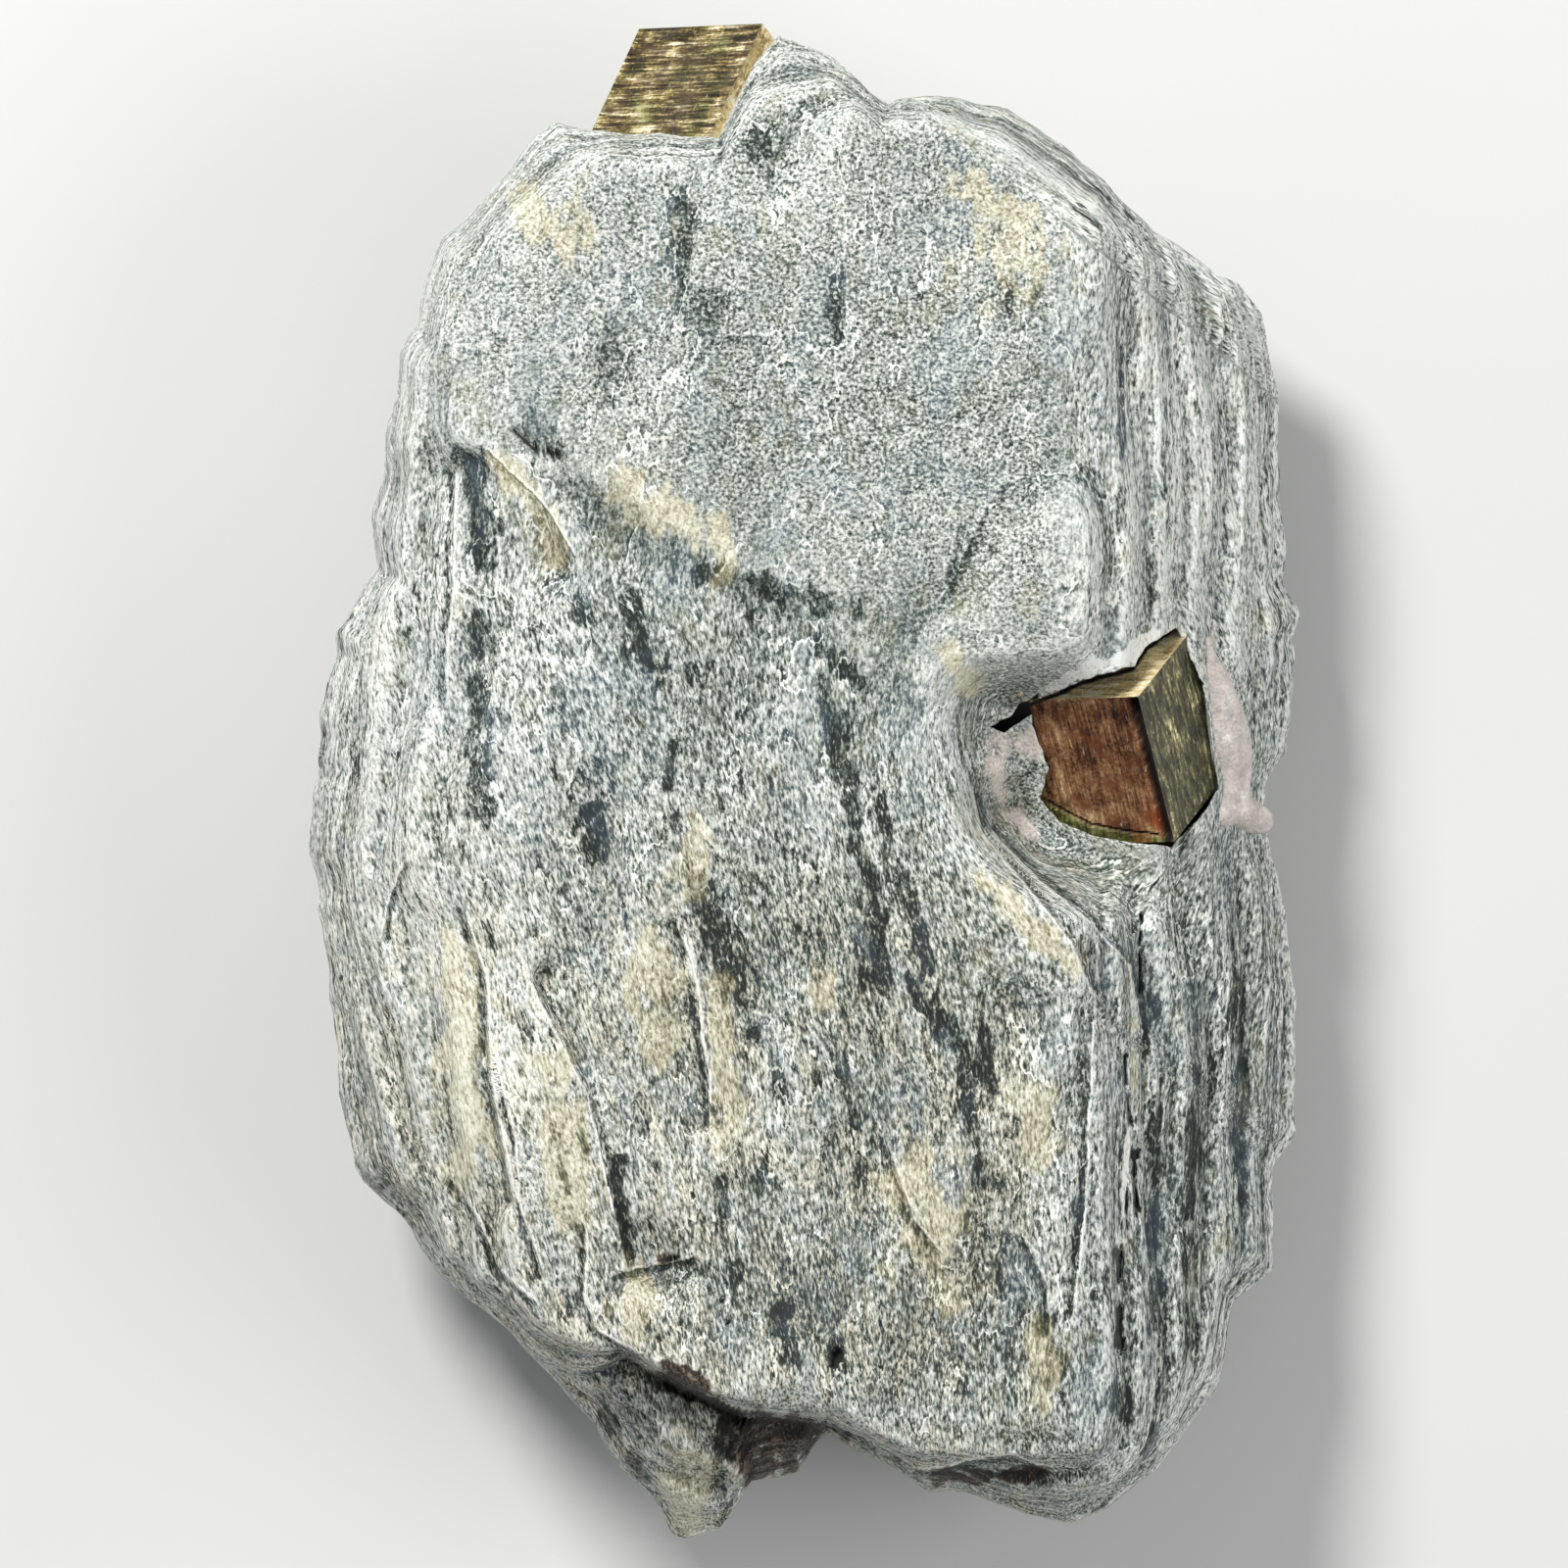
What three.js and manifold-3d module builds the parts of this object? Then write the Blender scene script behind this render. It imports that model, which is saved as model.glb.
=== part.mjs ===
// Pyrite cubes in a hand specimen of chlorite schist, lying on its back.
// Millimetres. +X is the specimen's right, +Y its top end, +Z its shown face.

import * as THREE from "three";
import ManifoldModule from "manifold-3d";

const manifoldLibrary = await ManifoldModule();
manifoldLibrary.setup();
const { Manifold, Mesh, CrossSection } = manifoldLibrary;

// Body: the height of the shown face, how softly flanks meet, and how the edge rounds over.
const FACE_HEIGHT = 29.5;
const CREST_SOFTNESS = 0.8;
const FRONT_ROUNDING = 2.6;
const BACK_ROUNDING = 3.4;
const BACK_HOLLOW = 1.8;

// Layers that stand out as ledges where a flank cuts across them.
const LAYER = 3.4;
const LEDGE = 0.46;

// Mesh of the body: vertices along each side of its grid, and how they crowd to the rim.
const GRID = 45;
const RIM_COUNT = 4 * (GRID - 1);
const RIM_CROWDING = 1.45;

// Crystals: edge lengths, and the gap that neighbours keep.
const SIDE_EDGE = 10.2;
const TOP_EDGE = 9.8;
const GAP = 0.3;
const CLEARANCE_ABOVE = 30;

// How the schist hugs the side crystal: a thin film on its faces, out to where the hug ends.
const FILM = 0.7;
const HUG_FROM = 0.6;
const HUG_TO = 5.5;
const LIP_FROM = 5;
const LIP_TO = 9;

// How far the quartz is sunk, as a share of its radius, and its facets around.
const QUARTZ_SUNK = 0.6;
const QUARTZ_FACETS = 16;

// Outline seen from above, anticlockwise from the left foot of the top crystal: x, y, rim height.
const OUTLINE = [
  [-13.6, 41.2, 18.3], [-15.8, 41.8, 17], [-17.4, 40.6, 16], [-18.6, 38.8, 15],
  [-20.7, 36.6, 14], [-22.9, 34.4, 14], [-23.8, 32.3, 14], [-24.6, 28.9, 14],
  [-25.7, 27.3, 14], [-25.9, 24.6, 14], [-26.4, 22.8, 14], [-26.7, 20, 13],
  [-27.6, 16.9, 13], [-27, 13.7, 13], [-28.6, 11, 13], [-29.6, 9.6, 13],
  [-29.6, 8.3, 13], [-30.7, 4.8, 12], [-31.1, -0.9, 12], [-31.4, -4.3, 12],
  [-30.7, -8.4, 12], [-30, -11.6, 12], [-29.9, -14.2, 12], [-29.4, -19.5, 12],
  [-28.6, -24.1, 11], [-28, -25.1, 11], [-26, -26.8, 11], [-24.9, -27.8, 11],
  [-23.5, -30.6, 10], [-21.2, -32.5, 10], [-18.7, -34.7, 10], [-16.1, -37.6, 9],
  [-13.4, -40.4, 9], [-11.6, -43.4, 9], [-9.5, -45.5, 9], [-8.4, -47.3, 9],
  [-7.5, -47.6, 9], [-5.4, -47.1, 9], [-4.8, -46.7, 8], [-4.3, -44, 7],
  [-1.6, -43.9, 7], [-0.5, -43.6, 7], [0.6, -41.7, 8], [1.4, -41.1, 10],
  [3.7, -42.3, 11], [5.9, -43.3, 11], [7.8, -44.7, 11], [10.1, -44.7, 11],
  [14, -46.2, 11], [16.8, -46.7, 11], [18.9, -45.7, 11], [22.3, -43.1, 10],
  [24.3, -40.4, 10], [26.2, -37.5, 9], [27, -32.7, 9], [29.6, -30.7, 8],
  [29.7, -27, 8], [29.6, -24.3, 8], [31.2, -22.1, 8], [31, -20.3, 8],
  [30.9, -13.1, 8], [30.4, -8.8, 8], [29.1, -2.2, 9], [29.1, 0, 9],
  [30.6, 2.1, 8], [30.9, 6.2, 8], [30.8, 9, 8], [31.4, 10.7, 8],
  [30.5, 12.8, 8], [30, 18.3, 8], [30, 24.6, 9], [28.8, 29.7, 11],
  [27.3, 31.7, 12], [25.1, 32.7, 13], [21.7, 35.1, 14], [18.9, 38, 16],
  [16, 40.3, 17], [12.6, 42.4, 18], [9.4, 43.1, 19], [5.9, 43.2, 19],
  [5, 42.9, 19], [4, 43.5, 19], [1.6, 45.8, 19], [-1.7, 47, 19.8],
  [-3.2, 45.2, 21.5], [-4.8, 42, 23.2], [-5.4, 40.3, 24.6], [-7.5, 40.7, 23.2], [-10.6, 41, 21],
];

// Flanks that fall away from a face: a point on the crest, the way out, and the slope.
const FRONT_FLANKS = [
  { crest: [17.1, 0], toward: 0, slope: 55 },
  { crest: [9.5, 39.5], toward: 52, slope: 46 },
  { crest: [-21.5, 0], toward: 180, slope: 43 },
  { crest: [-23.5, -8], toward: 196, slope: 56 },
  { crest: [-18.5, 32], toward: 150, slope: 42 },
  { crest: [-19, 34], toward: 128, slope: 57 },
  { crest: [-17.5, -30.5], toward: 227, slope: 50 },
  { crest: [0, -40.5], toward: 270, slope: 58 },
  { crest: [22, -38.5], toward: 308, slope: 50 },
  { crest: [24.5, -22], toward: 342, slope: 66 },
  { crest: [-2, 41.5], toward: 96, slope: 52 },
];
const BACK_FLANKS = [
  { crest: [22, 0], toward: 4, slope: 40 },
  { crest: [21, -20], toward: 340, slope: 47 },
  { crest: [14, -35], toward: 296, slope: 38 },
  { crest: [0, -37], toward: 266, slope: 44 },
  { crest: [-13, -29], toward: 232, slope: 40 },
  { crest: [-21, -10], toward: 192, slope: 52 },
  { crest: [-18, 12], toward: 168, slope: 43 },
  { crest: [-13, 28], toward: 138, slope: 49 },
  { crest: [4, 31], toward: 86, slope: 53 },
  { crest: [18, 25], toward: 47, slope: 42 },
];

// Broken layer edges: on the right of the path's way the ground lies lower by drop, out to reach.
const SCARPS = [
  { path: [[-17.4, 22.2], [-7.5, 16.6], [2.3, 11.7], [6.6, 7.4]], drop: 1.3, ramp: 0.8, reach: 6 },
  { path: [[-19.8, 20.9], [-16.1, 17.3], [-14.3, 14.2]], drop: -1.2, ramp: 0.8, reach: 6 },
  { path: [[-17.1, -12.3], [-13.7, -19], [-12.5, -24], [-11.2, -30.1]], drop: 1.5, ramp: 0.8, reach: 6 },
  { path: [[-21.1, -8], [-19.8, -12.3], [-19.5, -18.4], [-18, -25.8]], drop: 1.2, ramp: 0.8, reach: 5 },
  { path: [[-10.6, -35], [-7.5, -36.9], [-3.8, -38.4], [0.5, -39], [3.6, -40]], drop: 7, ramp: 3, reach: 30 },
];

// Swells and hollows: centre, half widths, turn in degrees, and height.
const SWELLS = [
  { at: [13.5, 14.5], half: [6, 4.5], turn: -15, height: 1.2 },
  { at: [10.4, 3.6], half: [2.8, 5], turn: 10, height: -3.2 },
  { at: [15.5, -3.5], half: [5.5, 3.2], turn: -35, height: -2.4 },
  { at: [13.5, -9], half: [3, 4.5], turn: 35, height: 1.3 },
  { at: [-1.5, -41], half: [3.2, 2.6], turn: 0, height: -4 },
  { at: [-10, -30], half: [3.4, 2.8], turn: 20, height: -1.3 },
  { at: [20.8, -18], half: [0.7, 9], turn: 3, height: -1.5 },
  { at: [-4, 28], half: [9, 8], turn: 0, height: 0.6 },
];

// Each crystal is a cube: its upper right corner in front, and the ways of two edges.
const SIDE_CRYSTAL = {
  corner: [20.63, 5.44, 26.5],
  right: [0.895, 0.025, 0.446],
  down: [0.229, -0.882, -0.41],
  edge: SIDE_EDGE,
};
const TOP_CRYSTAL = {
  corner: [-2.74, 47.5, 20.2],
  right: [0.79, 0.012, 0.617],
  down: [-0.359, -0.797, 0.477],
  edge: TOP_EDGE,
};

// The hole in the schist through which the side crystal shows, anticlockwise.
const SIDE_WINDOW = [
  [14, 5.4], [14.1, 3.7], [14.7, 2.1], [15.1, 1], [14.6, -0.9], [15.9, -2.4], [18, -3.2],
  [20.1, -3.6], [22.8, -4.2], [23.7, -3.6], [25.3, -2], [26.2, -0.1], [25.4, 3.3],
  [24.8, 6.3], [23.1, 9.8], [21.4, 9.1], [20.2, 7.9], [17.5, 6.9],
];

// Quartz that grew beside the side crystal: balls along it, as x, y, radius.
const QUARTZ_BEADS = [
  [25.3, 7, 1.2], [26.3, 5, 1.9], [26.8, 2.5, 2.2], [27.1, 0.2, 1.9], [27.2, -1.9, 2.1],
];

const toRadians = THREE.MathUtils.degToRad;
const clamp01 = (value) => THREE.MathUtils.clamp(value, 0, 1);

// Minimum of many heights, rounded where they meet.
function softMinimum(heights) {
  const lowest = Math.min(...heights);
  const total = heights.reduce((sum, h) => sum + Math.exp((lowest - h) / CREST_SOFTNESS), 0);
  return lowest - CREST_SOFTNESS * Math.log(total);
}

// Distance from a point to a path, and how far right of the path's nearest stretch it is.
function besidePath(x, y, path) {
  let nearest = { distance: Infinity, rightward: 0 };
  for (let i = 0; i + 1 < path.length; i++) {
    const [ax, ay] = path[i];
    const dx = path[i + 1][0] - ax;
    const dy = path[i + 1][1] - ay;
    const share = clamp01(((x - ax) * dx + (y - ay) * dy) / (dx * dx + dy * dy));
    const distance = Math.hypot(x - ax - share * dx, y - ay - share * dy);
    if (distance < nearest.distance) {
      const rightward = (dy * (x - ax) - dx * (y - ay)) / Math.hypot(dx, dy);
      nearest = { distance, rightward };
    }
  }
  return nearest;
}

// How much lower the ground is for one broken layer edge. It fades around the path's ends.
function scarpDrop(x, y, { path, drop, ramp, reach }) {
  const { distance, rightward } = besidePath(x, y, path);
  if (rightward <= 0) {
    return 0;
  }
  const beside = rightward / distance;
  return drop * beside ** 3 * Math.exp(-distance / reach) * THREE.MathUtils.smoothstep(distance, 0, ramp);
}

// Height that one swell or hollow adds.
function swellHeight(x, y, { at, half, turn, height }) {
  const angle = toRadians(turn);
  const dx = x - at[0];
  const dy = y - at[1];
  const along = (dx * Math.cos(angle) + dy * Math.sin(angle)) / half[0];
  const across = (dy * Math.cos(angle) - dx * Math.sin(angle)) / half[1];
  return height * Math.exp(-(along * along + across * across));
}

// Long gentle waves of the foliation, drawn out along the specimen.
function foliationWaves(x, y) {
  const first = Math.sin(0.62 * x + 0.11 * y + 1.3) * Math.cos(0.09 * x - 0.17 * y);
  const second = Math.sin(0.31 * x - 0.13 * y + 0.4) * Math.sin(0.22 * y + 0.7);
  return 0.35 * first + 0.4 * second;
}

// A crystal's own directions: right, up and front, square to each other.
function crystalAxes({ right, down }) {
  const rightward = new THREE.Vector3(...right).normalize();
  const front = new THREE.Vector3(...down).cross(rightward).normalize();
  return { right: rightward, up: front.clone().cross(rightward), front };
}

// Height of the plane through a crystal's corner with a given normal.
function cornerPlaneHeight(x, y, { corner }, normal) {
  return corner[2] - (normal.x * (x - corner[0]) + normal.y * (y - corner[1])) / normal.z;
}

const sideAxes = crystalAxes(SIDE_CRYSTAL);

// Beside and below the side crystal the schist follows the crystal's own faces.
function huggingHeight(x, y, height) {
  const { distance } = besidePath(x, y, [...SIDE_WINDOW, SIDE_WINDOW[0]]);
  const near = 1 - THREE.MathUtils.smoothstep(distance, HUG_FROM, HUG_TO);
  const belowLip = 1 - THREE.MathUtils.smoothstep(y, LIP_FROM, LIP_TO);
  const front = cornerPlaneHeight(x, y, SIDE_CRYSTAL, sideAxes.front);
  const right = cornerPlaneHeight(x, y, SIDE_CRYSTAL, sideAxes.right);
  const wanted = Math.min(height, Math.min(front, right) + FILM);
  return THREE.MathUtils.lerp(height, wanted, near * belowLip);
}

// How far below or above its face a flank is at a point.
function flankFall(x, y, { crest, toward, slope }) {
  const angle = toRadians(toward);
  const beyond = (x - crest[0]) * Math.cos(angle) + (y - crest[1]) * Math.sin(angle);
  return beyond * Math.tan(toRadians(slope));
}

// Ledges where a surface cuts across the layers.
function ledgeHeight(x, y, height) {
  const layers = (height + 0.12 * x - 0.05 * y + 0.8 * Math.sin(0.2 * x - 0.16 * y)) / LAYER;
  return LEDGE * Math.sin(2 * Math.PI * layers);
}

// Height of the shown face, before its edge rounds down to the rim.
function faceHeight(x, y) {
  const flanks = FRONT_FLANKS.map((flank) => FACE_HEIGHT - flankFall(x, y, flank));
  let height = softMinimum([FACE_HEIGHT, ...flanks]) + foliationWaves(x, y);
  for (const scarp of SCARPS) {
    height -= scarpDrop(x, y, scarp);
  }
  height += ledgeHeight(x, y, height);
  for (const swell of SWELLS) {
    height += swellHeight(x, y, swell);
  }
  return huggingHeight(x, y, height);
}

// Height of the back, which lies flat on the surface except in shallow hollows.
function backHeight(x, y) {
  const hollows = Math.sin(0.16 * x + 0.5) * Math.cos(0.09 * y - 0.3);
  const risen = -softMinimum([0, ...BACK_FLANKS.map((flank) => -flankFall(x, y, flank))]) - CREST_SOFTNESS;
  const height = Math.max(0, risen, BACK_HOLLOW * (hollows - 0.25));
  return Math.max(0, height + clamp01(height / LAYER) * ledgeHeight(x, y, height));
}

// The outline's corners in order of angle about the origin.
const rimCorners = OUTLINE.map(([x, y, height]) => {
  const angle = (Math.atan2(y, x) + 2 * Math.PI) % (2 * Math.PI);
  return { x, y, height, angle };
}).sort((a, b) => a.angle - b.angle);

// Radius and height of the rim where the ray at an angle crosses the outline.
function rimAt(angle) {
  const turned = (angle + 2 * Math.PI) % (2 * Math.PI);
  const found = rimCorners.findIndex((corner) => corner.angle > turned);
  const after = found === -1 ? 0 : found;
  const next = rimCorners[after];
  const previous = rimCorners[(after + rimCorners.length - 1) % rimCorners.length];
  const start = previous.x * Math.sin(turned) - previous.y * Math.cos(turned);
  const end = next.x * Math.sin(turned) - next.y * Math.cos(turned);
  const share = start / (start - end);
  const x = THREE.MathUtils.lerp(previous.x, next.x, share);
  const y = THREE.MathUtils.lerp(previous.y, next.y, share);
  return { radius: Math.hypot(x, y), height: THREE.MathUtils.lerp(previous.height, next.height, share) };
}

// Angles of the rim's vertices: evenly spread, then moved onto the outline's corners.
const rimAngles = Array.from({ length: RIM_COUNT }, (_, i) => (2 * Math.PI * i) / RIM_COUNT);
for (const { angle } of rimCorners) {
  rimAngles[Math.round((angle / (2 * Math.PI)) * RIM_COUNT) % RIM_COUNT] = angle;
}

// An even angle, moved as the rim's vertices are moved.
function movedAngle(angle) {
  const place = (((angle + 2 * Math.PI) % (2 * Math.PI)) / (2 * Math.PI)) * RIM_COUNT;
  const before = Math.floor(place + 1e-9) % RIM_COUNT;
  const next = before + 1 === RIM_COUNT ? rimAngles[0] + 2 * Math.PI : rimAngles[before + 1];
  return THREE.MathUtils.lerp(rimAngles[before], next, clamp01(place - before));
}

// A square grid's place, -1 to 1 each way, as a ring from the centre and an angle.
function ringAndAngle(u, v) {
  if (u === 0 && v === 0) {
    return { ring: 0, angle: 0 };
  }
  if (Math.abs(u) >= Math.abs(v)) {
    return { ring: Math.abs(u), angle: (Math.PI / 4) * (v / u) + (u < 0 ? Math.PI : 0) };
  }
  return { ring: Math.abs(v), angle: Math.PI / 2 - (Math.PI / 4) * (u / v) + (v < 0 ? Math.PI : 0) };
}

// How far a surface has turned over towards the rim: 0 inside, 1 on the rim.
function turnedOver(inward, width) {
  const outward = 1 - clamp01(inward / width);
  return 1 - Math.sqrt(1 - outward * outward);
}

// One grid place on the front or the back of the schist.
function sheetPoint(column, row, isFront) {
  const half = (GRID - 1) / 2;
  const { ring, angle } = ringAndAngle(column / half - 1, row / half - 1);
  const turned = movedAngle(angle);
  const rim = rimAt(turned);
  const share = 1 - (1 - ring) ** RIM_CROWDING;
  const x = rim.radius * share * Math.cos(turned);
  const y = rim.radius * share * Math.sin(turned);
  const inward = rim.radius * (1 - share);
  if (isFront) {
    const face = Math.max(faceHeight(x, y), rim.height);
    return [x, y, THREE.MathUtils.lerp(face, rim.height, turnedOver(inward, FRONT_ROUNDING))];
  }
  const back = Math.min(backHeight(x, y), rim.height - LEDGE);
  return [x, y, THREE.MathUtils.lerp(back, rim.height, turnedOver(inward, BACK_ROUNDING))];
}

// The whole schist before anything is cut: a front and a back sheet that share the rim.
function schistBody() {
  const points = [];
  const places = { front: new Map(), back: new Map() };
  for (const side of ["front", "back"]) {
    for (let row = 0; row < GRID; row++) {
      for (let column = 0; column < GRID; column++) {
        const key = row * GRID + column;
        const onRim = row === 0 || column === 0 || row === GRID - 1 || column === GRID - 1;
        if (side === "back" && onRim) {
          places.back.set(key, places.front.get(key));
          continue;
        }
        places[side].set(key, points.length / 3);
        points.push(...sheetPoint(column, row, side === "front"));
      }
    }
  }
  return new Manifold(
    new Mesh({
      numProp: 3,
      vertProperties: new Float32Array(points),
      triVerts: new Uint32Array([...sheetTriangles(places.front, false), ...sheetTriangles(places.back, true)]),
    }),
  );
}

// Triangles of one sheet, with the diagonals running out from the centre.
function sheetTriangles(places, flipped) {
  const triangles = [];
  const half = (GRID - 1) / 2;
  for (let row = 0; row + 1 < GRID; row++) {
    for (let column = 0; column + 1 < GRID; column++) {
      const start = row * GRID + column;
      const [a, b, c, d] = [start, start + 1, start + GRID + 1, start + GRID].map((key) => places.get(key));
      const rising = row < half === column < half;
      const pair = rising ? [[a, b, c], [a, c, d]] : [[a, b, d], [b, c, d]];
      for (const corners of pair) {
        triangles.push(...(flipped ? corners.reverse() : corners));
      }
    }
  }
  return triangles;
}

// Where a crystal sits: its centre and its turn.
function crystalMatrix(crystal) {
  const { right, up, front } = crystalAxes(crystal);
  const centre = new THREE.Vector3(...crystal.corner);
  centre.addScaledVector(right, -crystal.edge / 2);
  centre.addScaledVector(up, -crystal.edge / 2);
  centre.addScaledVector(front, -crystal.edge / 2);
  return new THREE.Matrix4().makeBasis(right, up, front).setPosition(centre);
}

// The room that a crystal takes in the schist.
function crystalRoom(crystal) {
  const edge = crystal.edge + 2 * GAP;
  return Manifold.cube([edge, edge, edge], true).transform(crystalMatrix(crystal).elements);
}

// What is broken away in front of the side crystal, so that it shows through its window.
function windowRoom() {
  const room = crystalRoom(SIDE_CRYSTAL);
  const swept = Manifold.hull([room, room.translate([0, 0, CLEARANCE_ABOVE])]);
  const window = new CrossSection([SIDE_WINDOW]).extrude(FACE_HEIGHT + CLEARANCE_ABOVE);
  return swept.intersect(window);
}

// The quartz beads as one body, each grown by the given amount.
function quartzBody(grown) {
  const balls = QUARTZ_BEADS.map(([x, y, radius]) => {
    const height = faceHeight(x, y) - QUARTZ_SUNK * radius;
    return Manifold.sphere(radius + grown, QUARTZ_FACETS).translate([x, y, height]);
  });
  const links = balls.slice(1).map((ball, i) => Manifold.hull([balls[i], ball]));
  return Manifold.union(links);
}

// The largest of the bodies that a cut leaves, without its loose splinters.
function largestBody(body) {
  return body.decompose().reduce((best, piece) => (piece.volume() > best.volume() ? piece : best));
}

function geometryOf(body) {
  const { vertProperties, triVerts } = body.getMesh();
  const geometry = new THREE.BufferGeometry();
  geometry.setAttribute("position", new THREE.BufferAttribute(new Float32Array(vertProperties), 3));
  geometry.setIndex(new THREE.BufferAttribute(new Uint32Array(triVerts), 1));
  geometry.computeVertexNormals();
  return geometry;
}

function namedMesh(name, geometry, material) {
  const mesh = new THREE.Mesh(geometry, material);
  mesh.name = name;
  return mesh;
}

function crystalMesh(name, crystal, material) {
  const geometry = new THREE.BoxGeometry(crystal.edge, crystal.edge, crystal.edge);
  const mesh = namedMesh(name, geometry, material);
  mesh.applyMatrix4(crystalMatrix(crystal));
  return mesh;
}

const schistMaterial = new THREE.MeshStandardMaterial({ color: 0x8c9891, roughness: 0.85, metalness: 0 });
const pyriteMaterial = new THREE.MeshStandardMaterial({ color: 0xa88c4e, roughness: 0.35, metalness: 1 });
const quartzMaterial = new THREE.MeshStandardMaterial({ color: 0xd9cfc9, roughness: 0.45, metalness: 0 });

const schist = largestBody(
  schistBody()
    .subtract(crystalRoom(SIDE_CRYSTAL))
    .subtract(crystalRoom(TOP_CRYSTAL))
    .subtract(windowRoom())
    .subtract(quartzBody(GAP)),
);
const quartz = largestBody(quartzBody(0).subtract(crystalRoom(SIDE_CRYSTAL)));

const group = new THREE.Group();
group.add(namedMesh("schist", geometryOf(schist), schistMaterial));
group.add(crystalMesh("pyrite_side", SIDE_CRYSTAL, pyriteMaterial));
group.add(crystalMesh("pyrite_top", TOP_CRYSTAL, pyriteMaterial));
group.add(namedMesh("quartz_fringe", geometryOf(quartz), quartzMaterial));

export default group;
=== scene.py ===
"""Pyrite cubes in a hand specimen of chlorite schist, lying on its back on a pale floor."""

import itertools
import math

import bmesh
import bpy
import numpy as np
from mathutils import Matrix, Vector


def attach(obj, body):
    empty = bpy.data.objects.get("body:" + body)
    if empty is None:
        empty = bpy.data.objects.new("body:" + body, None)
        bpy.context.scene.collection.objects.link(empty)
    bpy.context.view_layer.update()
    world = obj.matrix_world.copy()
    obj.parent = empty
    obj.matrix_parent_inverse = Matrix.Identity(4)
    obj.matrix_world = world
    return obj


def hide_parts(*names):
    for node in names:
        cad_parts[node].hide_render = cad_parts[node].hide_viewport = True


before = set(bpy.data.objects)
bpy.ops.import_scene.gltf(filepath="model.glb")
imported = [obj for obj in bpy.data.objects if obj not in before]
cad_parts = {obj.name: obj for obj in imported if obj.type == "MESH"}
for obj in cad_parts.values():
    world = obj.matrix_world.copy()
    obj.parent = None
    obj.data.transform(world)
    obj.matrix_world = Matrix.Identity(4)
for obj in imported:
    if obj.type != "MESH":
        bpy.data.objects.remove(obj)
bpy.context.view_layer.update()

# Sizes are in millimetres unless a name says otherwise. MM turns them into metres.
MM = 0.001

# Body: the height of the shown face, how softly flanks meet, and how the edge rounds over.
FACE_HEIGHT = 29.5
CREST_SOFTNESS = 0.8
FRONT_ROUNDING = 2.6
BACK_ROUNDING = 3.4
BACK_HOLLOW = 1.8

# Layers that stand out as ledges where a flank cuts across them.
LAYER = 3.4
LEDGE = 0.46

# Mesh of the body: vertices along each side of its grid, and how they crowd to the rim.
GRID = 305
RIM_CROWDING = 1.3

# How the schist hugs the side crystal: a thin film on its faces, out to where the hug ends.
FILM = 0.7
HUG_FROM = 0.6
HUG_TO = 5.5
LIP_FROM = 5
LIP_TO = 9

# Fine relief: thickness and strength of the thin layers, the half width of the steep riser between
# two, as a share of a layer, and how far the relief stands out.
THIN_LAYERS = ((1.1, 0.5), (0.5, 0.8))
RISER = 0.13
STREAK_RELIEF = 0.1
GRAIN_RELIEF = 0.06
PIT_DEPTH = 0.7
RIM_JAG = 0.45
RIM_WAVE = 0.5
RIM_NOTCH = 0.55
TOP_OF_CAD = 31.08
TOP_EASING = 0.6

# Lean of the lineation on the left, as a tangent, up to a height and over a span of x, and how
# wide it parts around the crystal. On the upper right shoulder it runs aslant.
LEAN = 0.27
LEAN_TOP = 12
LEAN_SPAN = (-22, 24)
PARTING_CENTRE = (17.5, 1.5)
PARTING_RADIUS = 6.2
SHOULDER_CREST = (9.5, 39.5)
SHOULDER_WAY = 52

# Where the grains begin to be drawn out: down the face and leftwards, and x on the right flank.
FACE_STREAKS = (2, 22)
FLANK_STREAKS = (14, 18)
SHOULDER_STREAKS = 0.5

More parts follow.
